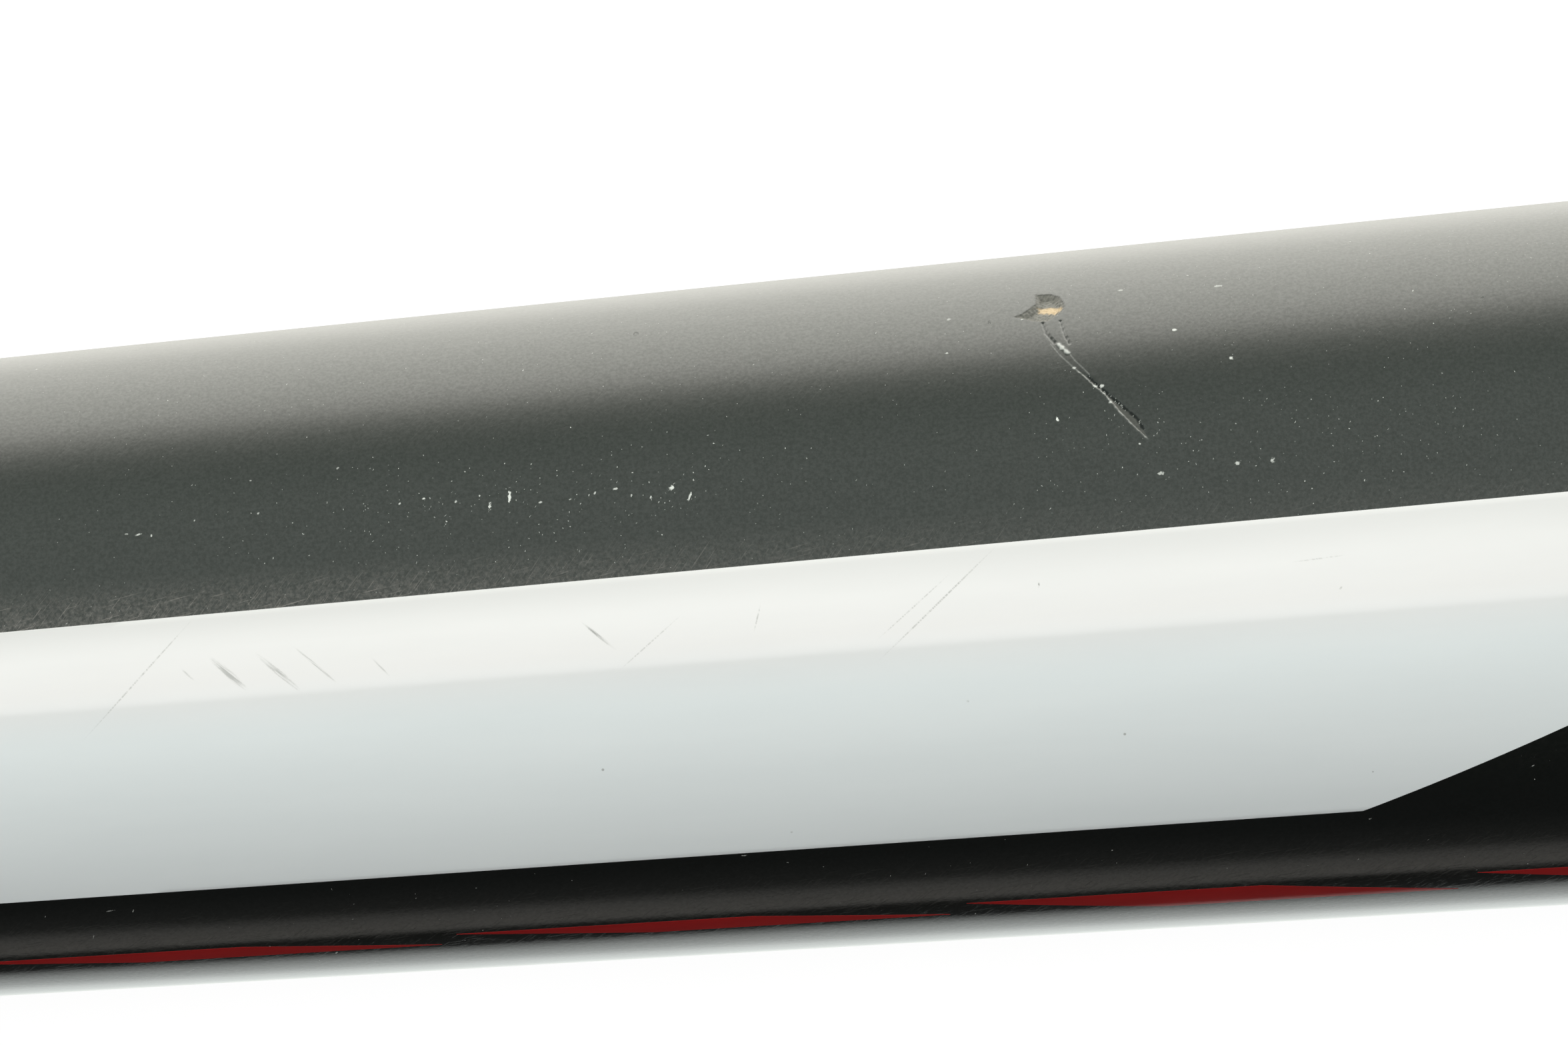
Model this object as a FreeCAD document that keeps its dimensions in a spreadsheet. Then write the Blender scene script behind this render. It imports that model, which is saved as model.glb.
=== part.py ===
"""Two-piece composite baseball bat, lying along X, in millimetres.

The origin is the middle of the knob's face. +X runs along the bat's axis to the end cap and +Z is up.
Every piece is turned about the X axis, so its outlines are drawn as (distance along the bat, radius).
"""
import FreeCAD, Part
import math
import os
import Sketcher

# Driving sizes, in millimetres and degrees, with what each one is.
SIZES = {
    "total_length": (838.0, "33 inch bat"),
    "cap_joint": (822.0, "where the barrel shell meets the end cap"),
    "barrel_radius": (33.35, "2 5/8 inch barrel"),
    "cylinder_start": (700.0, "where the barrel's cone becomes a cylinder"),
    "cone_start": (530.0, "where the sweep ends and the barrel's cone starts"),
    "cone_radius": (29.8, "radius at the cone's thin end"),
    "sweep_middle": (420.0, "where the hollow sweep turns into the round shoulder"),
    "sweep_start": (300.0, "where the handle starts to widen"),
    "handle_radius": (11.75, "bare handle"),
    "barrel_tail": (390.0, "thin end of the barrel shell"),
    "barrel_wall": (3.2, "outer shell"),
    "liner_start": (545.0, "liner's handle end"),
    "liner_end": (799.0, "liner's cap end"),
    "liner_gap": (0.15, "release gap between shell and liner"),
    "liner_wall": (1.8, "liner"),
    "ring_start": (648.0, "stiffening ring's handle end"),
    "ring_end": (660.0, "stiffening ring's cap end"),
    "ring_bore": (23.0, "stiffening ring's inner radius"),
    "tube_start": (4.0, "handle tube's end inside the knob"),
    "handle_wall": (2.8, "handle tube"),
    "flare_start": (360.0, "where the handle tube starts to flare"),
    "flare_middle": (430.0, "bend in the flare"),
    "flare_end": (470.0, "handle tube's end inside the barrel"),
    "flare_tail_radius": (11.85, "flare under the barrel's thin end"),
    "flare_middle_radius": (16.85, "flare at its bend"),
    "flare_end_radius": (21.25, "flare at its end"),
    "sleeve_stock": (4.0, "sleeve thickness before the flare is cut out of it"),
    "foam_start": (30.0, "foam plug's knob end"),
    "foam_end": (95.0, "foam plug's other end"),
    "collar_start": (345.0, "collar's thin end"),
    "collar_lip_radius": (13.3, "collar at its thin end"),
    "collar_radius": (16.85, "collar where it meets the barrel"),
    "collar_edge": (0.8, "rounding of the collar's lip"),
    "knob_radius": (25.0, "2 inch knob, nearly"),
    "knob_rim_start": (4.5, "where the knob's face rounding ends"),
    "knob_rim_end": (10.5, "where the knob's rim starts to turn in"),
    "knob_rim_round": (5.0, "rounding at the back of the rim"),
    "knob_turn": (14.81, "where the rim meets the neck"),
    "knob_turn_radius": (22.53, "radius where the rim meets the neck"),
    "knob_sweep": (20.0, "hollow of the knob's neck"),
    "knob_neck": (26.0, "where the knob ends and the grip starts"),
    "knob_neck_radius": (13.6, "knob's thin end"),
    "knob_bond_wall": (0.2, "adhesive between knob and tube"),
    "disc_radius": (15.0, "disc in the knob's face"),
    "disc_depth": (1.2, "disc thickness"),
    "grip_end": (283.0, "end of the wound grip"),
    "grip_wall": (1.55, "wound grip, with its overlap"),
    "band_start": (275.0, "finishing tape's start, on the grip"),
    "band_end": (292.0, "finishing tape's end, on the handle"),
    "band_wall": (0.35, "finishing tape on the grip"),
    "band_tail_radius": (12.6, "finishing tape on the handle"),
    "plug_start": (802.0, "end of the cap's plug inside the barrel"),
    "plug_wall": (3.4, "cap's plug"),
    "bond_wall": (0.25, "adhesive between plug and shell"),
    "cap_skin": (6.0, "cap's face"),
    "cap_round": (8.0, "rounding of the cap's rim"),
    "cap_groove_inner": (18.0, "ring groove in the cap's face, inner radius"),
    "cap_groove_outer": (20.0, "ring groove in the cap's face, outer radius"),
    "cap_groove_depth": (0.8, "ring groove in the cap's face, depth"),
    "weight_radius": (10.0, "balance weight"),
    "weight_length": (12.0, "balance weight"),
    "film_wall": (0.1, "film panels and flashes"),
    "panel_arc": (50.5, "panel's width as an angle about the bat"),
    "panel_lift": (24.25, "middle of the panel above the level of the axis"),
    "panel_end_low": (657.0, "panel's cap end, low side of the slant"),
    "panel_end_high": (724.0, "panel's cap end, high side of the slant"),
    "panel_tail_low": (402.0, "panel's handle end, low side of the slant"),
    "panel_tail_high": (440.0, "panel's handle end, high side of the slant"),
    "flash_arc": (5.2, "width of the band of flashes as an angle"),
    "flash_lift": (-21.0, "middle of the flashes above the level of the axis"),
    "flash_first": (431.5, "place of the first stripe"),
    "flash_pitch": (46.5, "from one stripe to the next"),
    "flash_slant": (6.5, "stripe's angle to the bat's axis"),
    "flash_width": (3.05, "stripe's width"),
    "flash_length": (62.0, "stripe's length before it is trimmed to the band"),
    "flash_rise": (5.1, "how far above the band's middle a stripe starts"),
    "cutter": (60.0, "reach of the trimming cuts, past every radius"),
}
FLASH_COUNT = 6

doc = FreeCAD.newDocument("Bat")


# The sheet of sizes and the helpers that read it.
def make_sheet():
    """Fills the spreadsheet: name, plain number and meaning on each row."""
    sheet = doc.addObject("Spreadsheet::Sheet", "Sizes")
    for row, (name, (number, meaning)) in enumerate(SIZES.items(), start=1):
        sheet.set(f"A{row}", name)
        sheet.set(f"B{row}", str(number))
        sheet.setAlias(f"B{row}", name)
        sheet.set(f"C{row}", meaning)
    doc.recompute()
    return sheet


def size(name):
    """The expression that reads one cell of the sheet."""
    return f"Sizes.{name}"


def amount(expression):
    """The number that an expression gives now."""
    return float(sheet.evalExpression(expression))


def cone_line(place, inset):
    """Expression for the barrel cone's radius at a place, less an inset."""
    slope = "(Sizes.barrel_radius - Sizes.cone_radius) / (Sizes.cylinder_start - Sizes.cone_start)"
    return f"Sizes.cone_radius + ({place} - Sizes.cone_start) * {slope} - ({inset})"


# Sketches.
def new_sketch(body, name, plane):
    """A sketch on one of the body's own origin planes."""
    sketch = body.newObject("Sketcher::SketchObject", name)
    face = next(part for part in body.Origin.OriginFeatures if part.Role == plane)
    sketch.AttachmentSupport = [(face, "")]
    sketch.MapMode = "FlatFace"
    return sketch


def pin_point(sketch, edge, end, across, up):
    """Ties one end of an edge to its two expressions; None leaves that direction free."""
    for kind, axis, expression in (("DistanceX", -2, across), ("DistanceY", -1, up)):
        if expression is None:
            continue
        now = amount(expression)
        if abs(now) < 1e-9:
            sketch.addConstraint(Sketcher.Constraint("PointOnObject", edge, end, axis))
            continue
        index = sketch.addConstraint(Sketcher.Constraint(kind, -1, 1, edge, end, now))
        sketch.setExpression(f"Constraints[{index}]", expression)


def arc_between(start, end, radius):
    """Arc from start to end, turning left if the radius is positive. Also says if its ends are swapped."""
    chord = end - start
    reach = math.sqrt(radius ** 2 - (chord.Length / 2) ** 2)
    left = FreeCAD.Vector(-chord.y, chord.x, 0).normalize()
    centre = start + chord / 2 + left * math.copysign(reach, radius)
    first, last = (start, end) if radius > 0 else (end, start)
    angles = [math.atan2(point.y - centre.y, point.x - centre.x) for point in (first, last)]
    circle = Part.Circle(centre, FreeCAD.Vector(0, 0, 1), abs(radius))
    return Part.ArcOfCircle(circle, angles[0], angles[1]), radius < 0


def draw_outline(sketch, corners):
    """Closed outline of (along, radius) corners; a third value is the signed radius of the arc after it."""
    points = [FreeCAD.Vector(amount(corner[0]), amount(corner[1]), 0) for corner in corners]
    ends = []
    for number, corner in enumerate(corners):
        start, end = points[number], points[(number + 1) % len(points)]
        if len(corner) == 3:
            curve, is_reversed = arc_between(start, end, amount(corner[2]))
            edge = sketch.addGeometry(curve, False)
            index = sketch.addConstraint(Sketcher.Constraint("Radius", edge, abs(amount(corner[2]))))
            sketch.setExpression(f"Constraints[{index}]", f"abs({corner[2]})")
            ends.append((edge, 2, 1) if is_reversed else (edge, 1, 2))
        else:
            edge = sketch.addGeometry(Part.LineSegment(start, end), False)
            ends.append((edge, 1, 2))
        pin_point(sketch, edge, ends[-1][1], corner[0], corner[1])
    for number, (edge, _, last) in enumerate(ends):
        following, first, _ = ends[(number + 1) % len(ends)]
        sketch.addConstraint(Sketcher.Constraint("Coincident", edge, last, following, first))


def draw_bat_line(sketch, inset):
    """The bat's outer line, moved in by an inset: sweep, shoulder, cone, cylinder. Returns its two ends."""
    radii = ("handle_radius", "cone_radius", "barrel_radius")
    handle, cone, barrel = [f"{size(name)} - ({inset})" for name in radii]
    stations = ("sweep_start", "sweep_middle", "cone_start", "cylinder_start", "cap_joint")
    places = [amount(size(name)) for name in stations]
    cone_rise = (amount(barrel) - amount(cone)) / (places[3] - places[2])
    rise = amount(cone) - amount(handle)
    steep = (2 * rise - cone_rise * (places[2] - places[1])) / (places[2] - places[0])
    steep_angle, cone_angle = math.atan(steep), math.atan(cone_rise)

    up = FreeCAD.Vector(0, 0, 1)
    sweep_radius = (places[1] - places[0]) / math.sin(steep_angle)
    sweep_centre = FreeCAD.Vector(places[0], amount(handle) + sweep_radius, 0)
    shoulder_radius = (places[2] - places[1]) / (math.sin(steep_angle) - math.sin(cone_angle))
    shoulder_drop = FreeCAD.Vector(math.sin(cone_angle), -math.cos(cone_angle), 0) * shoulder_radius
    shoulder_centre = FreeCAD.Vector(places[2], amount(cone), 0) + shoulder_drop
    quarter = math.pi / 2
    sweep_circle = Part.Circle(sweep_centre, up, sweep_radius)
    sweep_arc = Part.ArcOfCircle(sweep_circle, -quarter, steep_angle - quarter)
    sweep = sketch.addGeometry(sweep_arc, False)
    shoulder_circle = Part.Circle(shoulder_centre, up, shoulder_radius)
    shoulder_arc = Part.ArcOfCircle(shoulder_circle, quarter + cone_angle, quarter + steep_angle)
    shoulder = sketch.addGeometry(shoulder_arc, False)
    cone_ends = [FreeCAD.Vector(places[2], amount(cone), 0), FreeCAD.Vector(places[3], amount(barrel), 0)]
    cone_edge = sketch.addGeometry(Part.LineSegment(*cone_ends), False)
    barrel_end = FreeCAD.Vector(places[4], amount(barrel), 0)
    barrel_edge = sketch.addGeometry(Part.LineSegment(cone_ends[1], barrel_end), False)

    pin_point(sketch, sweep, 1, size("sweep_start"), handle)
    sketch.addConstraint(Sketcher.Constraint("Vertical", sweep, 3, sweep, 1))
    sketch.addConstraint(Sketcher.Constraint("Tangent", sweep, 2, shoulder, 2))
    pin_point(sketch, sweep, 2, size("sweep_middle"), None)
    pin_point(sketch, cone_edge, 1, size("cone_start"), cone)
    sketch.addConstraint(Sketcher.Constraint("Tangent", shoulder, 1, cone_edge, 1))
    pin_point(sketch, barrel_edge, 1, size("cylinder_start"), barrel)
    sketch.addConstraint(Sketcher.Constraint("Coincident", cone_edge, 2, barrel_edge, 1))
    pin_point(sketch, barrel_edge, 2, size("cap_joint"), barrel)
    return (sweep, 1), (barrel_edge, 2)


def draw_skin(sketch, low, high):
    """Closed outline of a skin on the bat's line, between an inner inset and an outer one."""
    inner, outer = draw_bat_line(sketch, low), draw_bat_line(sketch, high)
    for inside, outside, place in zip(inner, outer, ("sweep_start", "cap_joint")):
        along = amount(size(place))
        ends = [FreeCAD.Vector(along, sketch.getPoint(*end).y, 0) for end in (inside, outside)]
        edge = sketch.addGeometry(Part.LineSegment(*ends), False)
        sketch.addConstraint(Sketcher.Constraint("Coincident", edge, 1, *inside))
        sketch.addConstraint(Sketcher.Constraint("Coincident", edge, 2, *outside))


# Features.
def new_body(label):
    body = doc.addObject("PartDesign::Body", label)
    body.Label = label
    return body


def turn(body, sketch, arc=None, kind="PartDesign::Revolution"):
    """Turns a sketch about the bat's axis, all the way or over an arc with the sketch in its middle."""
    turned = body.newObject(kind, f"{sketch.Name}_turned")
    turned.Profile = sketch
    turned.ReferenceAxis = (sketch, ["H_Axis"])
    turned.Angle = 360
    if arc:
        turned.Midplane = True
        turned.setExpression("Angle", arc)
    sketch.Visibility = False
    doc.recompute()
    return turned


def turned_body(label, corners):
    """A piece turned from one closed outline."""
    body = new_body(label)
    sketch = new_sketch(body, f"{label}_outline", "XY_Plane")
    draw_outline(sketch, corners)
    turn(body, sketch)
    return body


def skin_body(label, low, high, arc=None):
    """A piece that follows the bat's line between two insets."""
    body = new_body(label)
    sketch = new_sketch(body, f"{label}_line", "XY_Plane")
    draw_skin(sketch, low, high)
    turn(body, sketch, arc)
    return body


def cut_away(body, name, corners):
    """Cuts a prism with (along, height) corners through the body, both ways along Y."""
    before = body.Shape.Volume
    sketch = new_sketch(body, name, "XZ_Plane")
    draw_outline(sketch, corners)
    cut = body.newObject("PartDesign::Pocket", f"{name}_cut")
    cut.Profile = sketch
    cut.Type = "Length"
    cut.SideType = "Symmetric"
    cut.setExpression("Length", "2 * Sizes.cutter")
    sketch.Visibility = False
    doc.recompute()
    if not body.Shape.Volume < before - 1e-3:
        raise RuntimeError(f"{name} cut nothing")


def cut_between(body, name, start, end):
    """Removes everything between two places along the bat."""
    cut_away(body, name, [
        (start, "-Sizes.cutter"), (end, "-Sizes.cutter"), (end, "Sizes.cutter"), (start, "Sizes.cutter")])


def cut_before(body, place):
    """Removes everything nearer to the knob than a place."""
    cut_between(body, f"{body.Name}_before", "Sizes.sweep_start - Sizes.cutter", place)


def cut_after(body, place):
    """Removes everything nearer to the end cap than a place."""
    cut_between(body, f"{body.Name}_after", place, "Sizes.total_length + Sizes.cutter")


def turn_about_axis(piece, lift):
    """Turns a piece, made around local +Y, so that its middle is lifted by an angle from the -Y side."""
    about_x = FreeCAD.Rotation(FreeCAD.Vector(1, 0, 0), 1)
    piece.Placement = FreeCAD.Placement(FreeCAD.Vector(), about_x)
    piece.setExpression("Placement.Rotation.Angle", f"180 - ({lift})")


# Barrel.
def make_barrel():
    shell = skin_body("barrel_shell", size("barrel_wall"), "0")
    cut_before(shell, size("barrel_tail"))

    liner_outer = "Sizes.barrel_wall + Sizes.liner_gap"
    liner_inner = f"{liner_outer} + Sizes.liner_wall"
    liner = skin_body("barrel_liner", liner_inner, liner_outer)
    cut_before(liner, size("liner_start"))
    cut_after(liner, size("liner_end"))

    ring = turned_body("barrel_ring", [
        (size("ring_start"), size("ring_bore")), (size("ring_end"), size("ring_bore")),
        (size("ring_end"), cone_line(size("ring_end"), liner_inner)),
        (size("ring_start"), cone_line(size("ring_start"), liner_inner))])
    return [shell, liner, ring]


# End cap.
def make_end_cap():
    bore = "Sizes.barrel_radius - Sizes.barrel_wall"
    plug = f"{bore} - Sizes.bond_wall"
    plug_bore = f"{plug} - Sizes.plug_wall"
    cap_inside = "Sizes.total_length - Sizes.cap_skin"
    groove_floor = "Sizes.total_length - Sizes.cap_groove_depth"
    cap = turned_body("end_cap", [
        (size("plug_start"), plug_bore), (cap_inside, plug_bore),
        (cap_inside, "0"), (size("total_length"), "0"),
        (size("total_length"), size("cap_groove_inner")), (groove_floor, size("cap_groove_inner")),
        (groove_floor, size("cap_groove_outer")), (size("total_length"), size("cap_groove_outer")),
        (size("total_length"), "Sizes.barrel_radius - Sizes.cap_round", size("cap_round")),
        ("Sizes.total_length - Sizes.cap_round", size("barrel_radius")),
        (size("cap_joint"), size("barrel_radius")), (size("cap_joint"), plug), (size("plug_start"), plug)])

    bond = turned_body("end_cap_bond", [
        (size("plug_start"), plug), (size("cap_joint"), plug),
        (size("cap_joint"), bore), (size("plug_start"), bore)])

    weight_start = f"{cap_inside} - Sizes.weight_length"
    weight = turned_body("balance_weight", [
        (weight_start, "0"), (cap_inside, "0"),
        (cap_inside, size("weight_radius")), (weight_start, size("weight_radius"))])
    return [cap, bond, weight]


# Handle and the joint between handle and barrel.
def make_handle():
    flare = [
        (size("flare_start"), size("handle_radius")), (size("barrel_tail"), size("flare_tail_radius")),
        (size("flare_middle"), size("flare_middle_radius")), (size("flare_end"), size("flare_end_radius"))]
    bore = [(along, f"{radius} - Sizes.handle_wall") for along, radius in reversed(flare)]
    tube = turned_body("handle_tube", [
        (size("tube_start"), "Sizes.handle_radius - Sizes.handle_wall"),
        (size("tube_start"), size("handle_radius")), *flare, *bore])

    sleeve_inner = "Sizes.barrel_wall + Sizes.sleeve_stock"
    sleeve = skin_body("joint_sleeve", sleeve_inner, size("barrel_wall"))
    cut_before(sleeve, size("barrel_tail"))
    cut_after(sleeve, size("flare_end"))
    seat = new_sketch(sleeve, "joint_sleeve_seat", "XY_Plane")
    draw_outline(seat, [(size("flare_start"), "0"), *flare, (size("flare_end"), "0")])
    turn(sleeve, seat, kind="PartDesign::Groove")

    collar = turned_body("transition_collar", [
        (size("collar_start"), size("handle_radius")),
        (size("collar_start"), "Sizes.collar_lip_radius - Sizes.collar_edge", "-Sizes.collar_edge"),
        ("Sizes.collar_start + Sizes.collar_edge", size("collar_lip_radius")),
        (size("barrel_tail"), size("collar_radius")), (size("barrel_tail"), size("flare_tail_radius")),
        (size("flare_start"), size("handle_radius"))])

    bore_radius = "Sizes.handle_radius - Sizes.handle_wall"
    foam = turned_body("handle_foam", [
        (size("foam_start"), "0"), (size("foam_end"), "0"), (size("foam_end"), bore_radius),
        (size("foam_start"), bore_radius)])
    return [tube, sleeve, collar, foam]


# Knob.
def make_knob():
    bore = "Sizes.handle_radius + Sizes.knob_bond_wall"
    knob = turned_body("knob", [
        (size("disc_depth"), "0"), (size("disc_depth"), size("disc_radius")), ("0", size("disc_radius")),
        ("0", "Sizes.knob_radius - Sizes.knob_rim_start", "-Sizes.knob_rim_start"),
        (size("knob_rim_start"), size("knob_radius")),
        (size("knob_rim_end"), size("knob_radius"), "-Sizes.knob_rim_round"),
        (size("knob_turn"), size("knob_turn_radius"), size("knob_sweep")),
        (size("knob_neck"), size("knob_neck_radius")), (size("knob_neck"), bore),
        (size("tube_start"), bore), (size("tube_start"), "0")])

    bond = turned_body("knob_bond", [
        (size("tube_start"), size("handle_radius")), (size("knob_neck"), size("handle_radius")),
        (size("knob_neck"), bore), (size("tube_start"), bore)])

    disc = turned_body("knob_disc", [
        ("0", "0"), (size("disc_depth"), "0"),
        (size("disc_depth"), size("disc_radius")), ("0", size("disc_radius"))])
    return [knob, bond, disc]


# Grip.
def make_grip():
    grip_radius = "Sizes.handle_radius + Sizes.grip_wall"
    band_radius = f"{grip_radius} + Sizes.band_wall"
    wrap = turned_body("grip_wrap", [
        (size("knob_neck"), size("handle_radius")), (size("grip_end"), size("handle_radius")),
        (size("grip_end"), grip_radius), (size("knob_neck"), grip_radius)])

    band = turned_body("grip_band", [
        (size("band_start"), grip_radius), (size("grip_end"), grip_radius),
        (size("grip_end"), size("handle_radius")), (size("band_end"), size("handle_radius")),
        (size("band_end"), size("band_tail_radius")), (size("grip_end"), band_radius),
        (size("band_start"), band_radius)])
    return [wrap, band]


# Films on the barrel.
def slanted_edge(low_place, high_place):
    """Two corners of a slanted cut. The high place is on the film's upper side, which is local -Z here."""
    half_width = "Sizes.barrel_radius * sin(Sizes.panel_arc / 2)"
    run = f"({high_place} - {low_place}) / (2 * {half_width}) * Sizes.cutter"
    middle = f"({high_place} + {low_place}) / 2"
    return (f"{middle} + {run}", "-Sizes.cutter"), (f"{middle} - {run}", size("cutter"))


def make_panel(label, lift):
    """White panel: a film over part of the bat's round, with both ends cut on a slant."""
    panel = skin_body(label, "0", "-Sizes.film_wall", size("panel_arc"))
    upper, lower = slanted_edge(size("panel_end_low"), size("panel_end_high"))
    past_cap = "Sizes.total_length + 2 * Sizes.cutter"
    cut_away(panel, f"{label}_end", [
        upper, (past_cap, "-Sizes.cutter"), (past_cap, size("cutter")), lower])
    upper, lower = slanted_edge(size("panel_tail_low"), size("panel_tail_high"))
    past_handle = "Sizes.sweep_start - 2 * Sizes.cutter"
    cut_away(panel, f"{label}_tail", [
        upper, lower, (past_handle, size("cutter")), (past_handle, "-Sizes.cutter")])
    turn_about_axis(panel, lift)
    return panel


def make_flashes(label, lift):
    """Red stripes: a band of film that keeps only what lies inside a row of slanted blocks."""
    band = skin_body(f"{label}_band", "0", "-Sizes.film_wall", size("flash_arc"))
    blocks = []
    for number in range(FLASH_COUNT):
        block = doc.addObject("Part::Box", f"{label}_block_{number}")
        for edge, name in (("Length", "flash_length"), ("Height", "flash_width"), ("Width", "cutter")):
            block.setExpression(edge, size(name))
        about_y = FreeCAD.Rotation(FreeCAD.Vector(0, 1, 0), -1)
        block.Placement = FreeCAD.Placement(FreeCAD.Vector(), about_y)
        block.setExpression("Placement.Rotation.Angle", "-Sizes.flash_slant")
        block.setExpression("Placement.Base.x", f"Sizes.flash_first + {number} * Sizes.flash_pitch")
        block.setExpression("Placement.Base.z", "-Sizes.flash_rise")
        blocks.append(block)
    row = doc.addObject("Part::Compound", f"{label}_blocks")
    row.Links = blocks
    flashes = doc.addObject("Part::Common", label)
    flashes.Base = band
    flashes.Tool = row
    flashes.Label = label
    turn_about_axis(flashes, lift)
    return flashes


def check(piece):
    """Stops if a piece has no valid solid."""
    if piece.Shape.isNull() or not piece.Shape.isValid() or not piece.Shape.Solids:
        raise RuntimeError(f"{piece.Label} has no valid solid")


sheet = make_sheet()
pieces = [*make_barrel(), *make_end_cap(), *make_handle(), *make_knob(), *make_grip()]
for side, half_turn in (("front", "0"), ("back", "180")):
    pieces.append(make_panel(f"white_panel_{side}", f"Sizes.panel_lift + {half_turn}"))
    pieces.append(make_flashes(f"red_flashes_{side}", f"Sizes.flash_lift + {half_turn}"))
doc.recompute()

for item in doc.Objects:
    if "Invalid" in item.State or "Error" in item.State:
        raise RuntimeError(f"{item.Label} is {item.State}")
os.makedirs("parts", exist_ok=True)
for piece in pieces:
    check(piece)
for piece in pieces:
    piece.Shape.exportStep(f"parts/{piece.Label}.step")
    print(f"{piece.Label:20s} {len(piece.Shape.Solids)} solid(s) {piece.Shape.Volume / 1000:9.3f} cm3")
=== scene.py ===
"""A used black, white and red baseball bat, seen close on the chipped and scuffed part of its barrel.

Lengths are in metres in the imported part's frame: X along the bat from the knob, Z up. A place on the
bat's skin is (x in millimetres, degrees round the bat), where 0 degrees faces -Y and 90 faces up.
"""
import math

import bpy
import numpy as np
from mathutils import Matrix, Vector


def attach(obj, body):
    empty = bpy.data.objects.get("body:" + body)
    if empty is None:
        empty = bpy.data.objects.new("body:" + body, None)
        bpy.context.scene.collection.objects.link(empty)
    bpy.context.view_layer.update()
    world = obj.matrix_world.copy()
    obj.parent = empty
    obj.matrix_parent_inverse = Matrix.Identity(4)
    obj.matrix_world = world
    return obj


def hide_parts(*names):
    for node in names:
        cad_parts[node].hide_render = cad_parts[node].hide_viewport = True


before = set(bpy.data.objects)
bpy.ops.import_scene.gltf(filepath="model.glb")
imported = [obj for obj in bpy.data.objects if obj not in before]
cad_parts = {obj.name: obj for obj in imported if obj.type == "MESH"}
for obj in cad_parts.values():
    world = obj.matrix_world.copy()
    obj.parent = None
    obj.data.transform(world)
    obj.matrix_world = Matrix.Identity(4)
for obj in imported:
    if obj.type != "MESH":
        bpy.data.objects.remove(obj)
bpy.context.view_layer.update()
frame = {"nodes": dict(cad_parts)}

scene = bpy.context.scene
scene.view_settings.view_transform = "Standard"
MM = 0.001
MM_PER_DEGREE = 0.557  # length of one degree round the barrel near the chip

# Sizes of the bat in millimetres, as in the CAD model.
TOTAL_LENGTH = 838.0
CAP_JOINT = 822.0
BARREL_RADIUS, BARREL_WALL = 33.35, 3.2
CYLINDER_START = 700.0
CONE_START, CONE_RADIUS = 530.0, 29.8
SWEEP_MIDDLE, SWEEP_START = 420.0, 300.0
HANDLE_RADIUS, HANDLE_WALL = 11.75, 2.8
BARREL_TAIL = 390.0
GRIP_START, GRIP_END, GRIP_WALL = 26.0, 283.0, 1.55
BAND_START, BAND_END, BAND_WALL, BAND_TAIL_RADIUS = 275.0, 292.0, 0.35, 12.6


# ---------------------------------------------------------------- camera, light and floor
VIEW_ELEVATION = math.radians(40.0)
VIEW_ROLL = math.radians(4.53)
# Where the camera aims, along the bat and above its axis, and how far off it is, in metres.
VIEW_PLACE, VIEW_RISE, VIEW_DISTANCE = 0.6068, 0.00872, 0.4917
LENS, SENSOR = 120.0, 36.0


def make_camera():
    """Looks down at the barrel from the front, as the photograph does."""
    forward = Vector((0, math.cos(VIEW_ELEVATION), -math.sin(VIEW_ELEVATION)))
    level_up = Vector((0, math.sin(VIEW_ELEVATION), math.cos(VIEW_ELEVATION)))
    along = Vector((1, 0, 0))
    right = along * math.cos(VIEW_ROLL) - level_up * math.sin(VIEW_ROLL)
    up = along * math.sin(VIEW_ROLL) + level_up * math.cos(VIEW_ROLL)
    camera = bpy.data.objects.new("camera", bpy.data.cameras.new("camera"))
    scene.collection.objects.link(camera)
    camera.data.lens = LENS
    camera.data.sensor_width = SENSOR
    camera.data.clip_start, camera.data.clip_end = 0.01, 50.0
    turn = Matrix((right, up, -forward)).transposed().to_4x4()
    place = Vector((VIEW_PLACE, 0, 0)) + up * VIEW_RISE - forward * VIEW_DISTANCE
    camera.matrix_world = Matrix.Translation(place) @ turn
    scene.camera = camera


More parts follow.
